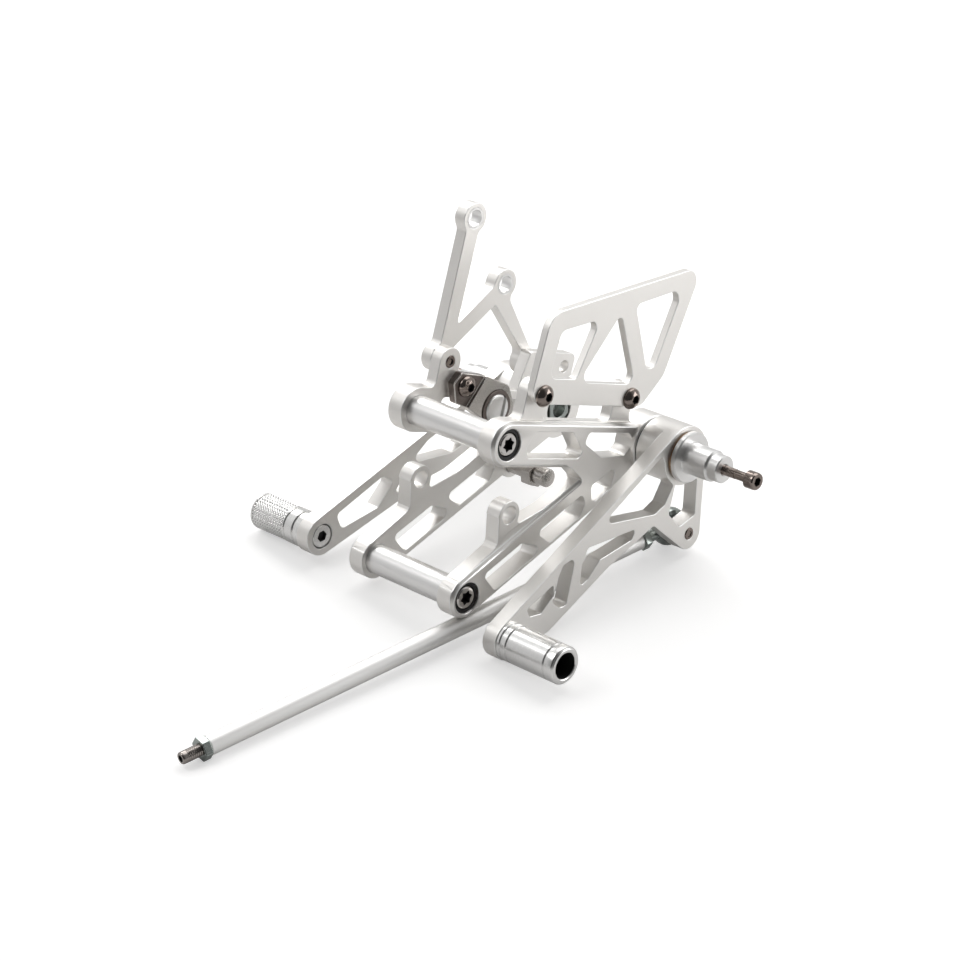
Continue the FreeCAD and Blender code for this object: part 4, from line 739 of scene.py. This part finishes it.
BRAKE_TOE = (111.8, -73.0)
brake_toe_axis = axle(BRAKE_TOE[0], -65.25, BRAKE_TOE[1], -1)
collar_outline = [(0, 0), (0, 9.0), (3.2, 9.0), (3.2, 8.4), (4.6, 8.4), (4.6, 9.0), (9.4, 9.0),
                  (9.4, 8.4), (10.6, 8.4), (10.6, 8.9), (11.6, 8.9), (11.6, 8.3), (33.0, 8.3),
                  (33.0, 8.9), (34.1, 8.9), (35.0, 8.0), (35.0, 0)]
show("brake_grip_collars", turned("brake_grip_collars", [(brake_toe_axis, eased(collar_outline, 0.18), 0)],
                                  [toe_peg_metal]), "brake", "turned_aluminium", "brake_toe_peg")
show("brake_grip_knurl", grown("brake_grip_knurl", knurl_maker(), [(BRAKE_TOE[0], -76.85, BRAKE_TOE[1])],
                               sharp=60, Axis=tuple(-across), Teeth=34, Radius=0.0090, Length=0.0214,
                               Pitch=0.00178, Depth=0.00075, Finish=toe_peg_metal),
     "brake", "turned_aluminium")
show("brake_toe_button", grown("brake_toe_button", screws, [(BRAKE_TOE[0], -60.2, BRAKE_TOE[1])],
                               Axis=tuple(across), Head_Radius=0.0058, Head_Height=0.0027, Crown=0.07,
                               Crown_Power=8.0, Socket_Outer=0.0029, Socket_Inner=0.00251,
                               Socket_Depth=0.0018, Shank_Radius=0.003, Shank_Length=0.02,
                               Finish=toe_peg_metal, Socket_Finish=socket_dark),
     "brake", "stainless_steel", "brake_toe_screw")


def recoat(node, finish):
    """Give a CAD piece that is shown as it is its own finish."""
    frame["nodes"][node].data.materials.clear()
    frame["nodes"][node].data.materials.append(finish)


recoat("shift_toe_screw", black_oxide)

# Footpeg spindles: turned aluminium, with a flange that keeps the lever on, the pin for a footpeg
# and a smaller neck.  Each holds a long cap screw that waits for its peg.
spindle_metal = turned_metal("spindle_metal", (0.82, 0.815, 0.805), (0.28, 0.38), across, 0.12, 2400.0)
pin_outline = [(0, 6.0), (0, 12.4), (3.0, 12.4), (3.0, 7.6), (17.0, 7.6), (17.0, 6.6), (23.0, 6.6),
               (23.0, 2.5), (12.0, 2.5), (12.0, 0)]
for name, node, level, sense, shank in (("left_pin", "left_peg_spindle", 58.5, 1, 28.0),
                                        ("right_pin", "right_peg_spindle", -66.3, -1, 35.8)):
    outline = [(-shank, 0), (-shank, 6.0)] + pin_outline
    show(name, turned(name, [(axle(0, level, 0, sense), eased(outline, 0.45), 0)], [spindle_metal]),
         "frame_plates", "turned_aluminium", node)


def thread_maker():
    """Geometry tree: round bar with a screw thread, placed like the screws."""
    group, given = growth_tree("screw_thread", (("Radius", 0.003), ("Length", 0.01), ("Pitch", 0.001),
                                                ("Depth", 0.0004)))
    bar = added(group, "GeometryNodeMeshCylinder", Vertices=40, Side_Segments=pitches(group, given, 8),
                Radius=given["Radius"], Depth=given["Length"]).outputs["Mesh"]
    here = own_position(group)
    phase = reckon(group, "ADD", turn_share(group, here), reckon(group, "DIVIDE", here[2], given["Pitch"]))
    return grooved(group, given, here, bar, reckon(group, "MULTIPLY", off_middle(group, phase), 2.0))


threads = thread_maker()
for side_name, node, seat, neck, sense in (("left", "left_peg_bolt", 96.0, 81.5, 1),
                                           ("right", "right_peg_bolt", -103.8, -89.3, -1)):
    name = side_name + "_cap_screw"
    show(name, grown(name, screws, [(0, seat, 0)], Axis=tuple(across * sense), Head_Radius=0.00425,
                     Head_Height=0.0053, Crown=0.10, Crown_Power=12.0, Socket_Outer=0.0024,
                     Socket_Inner=0.00208, Socket_Depth=0.0027, Shank_Radius=0.00225,
                     Shank_Length=0.0145, Finish=bolt_steel, Socket_Finish=socket_dark),
         "frame_plates", "stainless_steel", node)
    name = side_name + "_cap_screw_thread"
    show(name, grown(name, threads, [(0, neck - 8 * sense, 0)], sharp=60, Axis=tuple(across * sense),
                     Radius=0.0024, Length=0.0152, Pitch=0.0008, Depth=0.0003, Finish=bolt_steel),
         "frame_plates", "stainless_steel")

# Hub fittings: plated nuts in the inner recesses, bronze bushes in the levers and dark seals in the
# joints between hub and lever.
NUT_BREAK = 0.0004
zinc_steel = blasted_metal("zinc_steel", (0.26, 0.29, 0.275), (0.44, 0.475, 0.455), (0.15, 0.26), 0.15, 900.0)
bronze = turned_metal("bronze", (0.42, 0.27, 0.17), (0.3, 0.45), across)
for node, name in (("left_spindle_nut", "left_hub_nut"), ("right_spindle_nut", "right_hub_nut")):
    show(name, broken_edges(machined(node), name, NUT_BREAK, (zinc_steel,)), "frame_plates",
         "zinc_steel", node)
for node, finish in (("shift_lever_bush", bronze), ("brake_lever_bush", bronze),
                     ("left_hub_seal", black_oxide), ("right_hub_seal", black_oxide),
                     ("eye_bushes", turned_aluminium)):
    recoat(node, finish)

# Clamp on the right plate: a dark plate with a raised half, a split ring let into it, the slotted pin
# in the ring, and the stop screw with its lock nut further back.
RAISED_FROM = 0.0655
clamp_brown = blasted_metal("clamp_brown", (0.15, 0.125, 0.115), (0.25, 0.22, 0.205), (0.26, 0.4), 0.2,
                            1500.0)
dull_steel = blasted_metal("dull_steel", (0.54, 0.515, 0.49), (0.62, 0.595, 0.57), (0.20, 0.30), 0.12, 3000.0)
clamp_body = broken_edges(machined("clamp_plate"), "clamp_body", 0.0005, (clamp_brown, dull_steel))
for face in clamp_body.polygons:
    if (set_axes.inverted() @ face.center).x < RAISED_FROM:
        face.material_index = 1
show("clamp_body", clamp_body, "frame_plates", "dark_steel", "clamp_plate")
for node, name, finish, slot_name, width in (
        ("clamp_ring", "clamp_band", (clamp_brown,), "turned_aluminium", 0.0003),
        ("barrel_pin", "clamp_barrel", (turned_aluminium,), "turned_aluminium", 0.0003),
        ("stop_screw", "stop_bar", (dull_steel,), "stainless_steel", 0.0002),
        ("stop_nut", "stop_lock", (dull_steel,), "stainless_steel", NUT_BREAK)):
    show(name, broken_edges(machined(node), name, width, finish), "frame_plates", slot_name, node)
show("stop_thread", grown("stop_thread", threads, [(26.0, -24.6, -28.0)], sharp=60, Axis=tuple(across),
                          Radius=0.00404, Length=0.0172, Pitch=0.00125, Depth=0.0004, Finish=dull_steel),
     "frame_plates", "stainless_steel")

# Rod end: forged and plated steel, an eye round a polished ball, bolted behind the lever tail.
stud_mount = mounts["shift_rod_stud"]
rod_line = Vector(stud_mount["axis"]).normalized()
ball = Vector(next(joint for joint in frame["joints"] if joint["name"] == "rod_swivel")["pos_m"])
rod_up = rod_line.cross(across).normalized()
eye_axis = rod_up.cross(rod_line).normalized()
eye_place = eye_axis.to_track_quat("Z", "Y").to_matrix().to_4x4()
eye_place.translation = ball
rod_place = rod_line.to_track_quat("Z", "Y").to_matrix().to_4x4()
rod_place.translation = ball
eye_outline = [(-3.4, 5.3), (-3.4, 7.6), (-2.3, 9.1), (-1.0, 9.5), (1.0, 9.5), (2.3, 9.1), (3.4, 7.6),
               (3.4, 5.3), (1.5, 6.25), (0, 6.35), (-1.5, 6.25), (-3.4, 5.3)]
neck_outline = [(7.2, 0), (7.2, 3.5), (14.6, 3.4), (14.6, 2.5), (30.0, 2.5), (30.0, 0)]
forging = [(eye_place, eye_outline, 0), (rod_place, eased(neck_outline, 0.2), 0)]
show("eye_forging", turned("eye_forging", forging, [zinc_steel]), "rod", "zinc_steel", "rod_end_body")
polished_ball = turned_metal("polished_ball", (0.5, 0.5, 0.5), (0.08, 0.14), across, 0.03)
recoat("rod_end_ball", polished_ball)
recoat("rod_end_screw", bolt_steel)

# Shift rod: drawn and anodised aluminium, tapped at both ends, with a plated nut at each end and a
# steel stud in the front one.
rod_metal = turned_metal("rod_metal", (0.90, 0.892, 0.878), (0.46, 0.56), rod_line, 0.10, 900.0)
rod_outline = [(19.0, 2.6), (19.0, 4.6), (268.0, 4.6), (268.0, 2.6), (250.0, 2.6), (250.0, 0),
               (35.0, 0), (35.0, 2.6), (19.0, 2.6)]
show("rod_tube", turned("rod_tube", [(rod_place, eased(rod_outline, 0.5), 0)], [rod_metal]), "rod",
     "turned_aluminium", "shift_rod")
for node, name in (("rod_rear_nut", "rear_lock_nut"), ("rod_front_nut", "front_lock_nut")):
    show(name, broken_edges(machined(node), name, NUT_BREAK, (zinc_steel,)), "rod", "zinc_steel", node)
stud_steel = turned_metal("stud_steel", (0.34, 0.31, 0.29), (0.16, 0.28), rod_line, 0.08, 3000.0)


def along_rod(distance):
    """Point of the set, in millimetres, at a distance from the ball along the rod."""
    return tuple((set_axes.inverted() @ (ball + rod_line * (distance / 1000))) * 1000)


show("stud_thread", grown("stud_thread", threads, [along_rod(270.5)], sharp=60, Axis=tuple(rod_line),
                          Radius=0.00295, Length=0.0082, Pitch=0.001, Depth=0.00038, Finish=stud_steel),
     "rod", "stainless_steel")
show("stud_tip", grown("stud_tip", screws, [along_rod(278.6)], Axis=tuple(rod_line), Head_Radius=0.00285,
                       Head_Height=0.0029, Crown=0.14, Crown_Power=10.0, Socket_Outer=0.00175,
                       Socket_Inner=0.00152, Socket_Depth=0.0024, Shank_Radius=0.0024,
                       Shank_Length=0.02, Finish=stud_steel, Socket_Finish=socket_dark),
     "rod", "stainless_steel", "rod_front_stud")
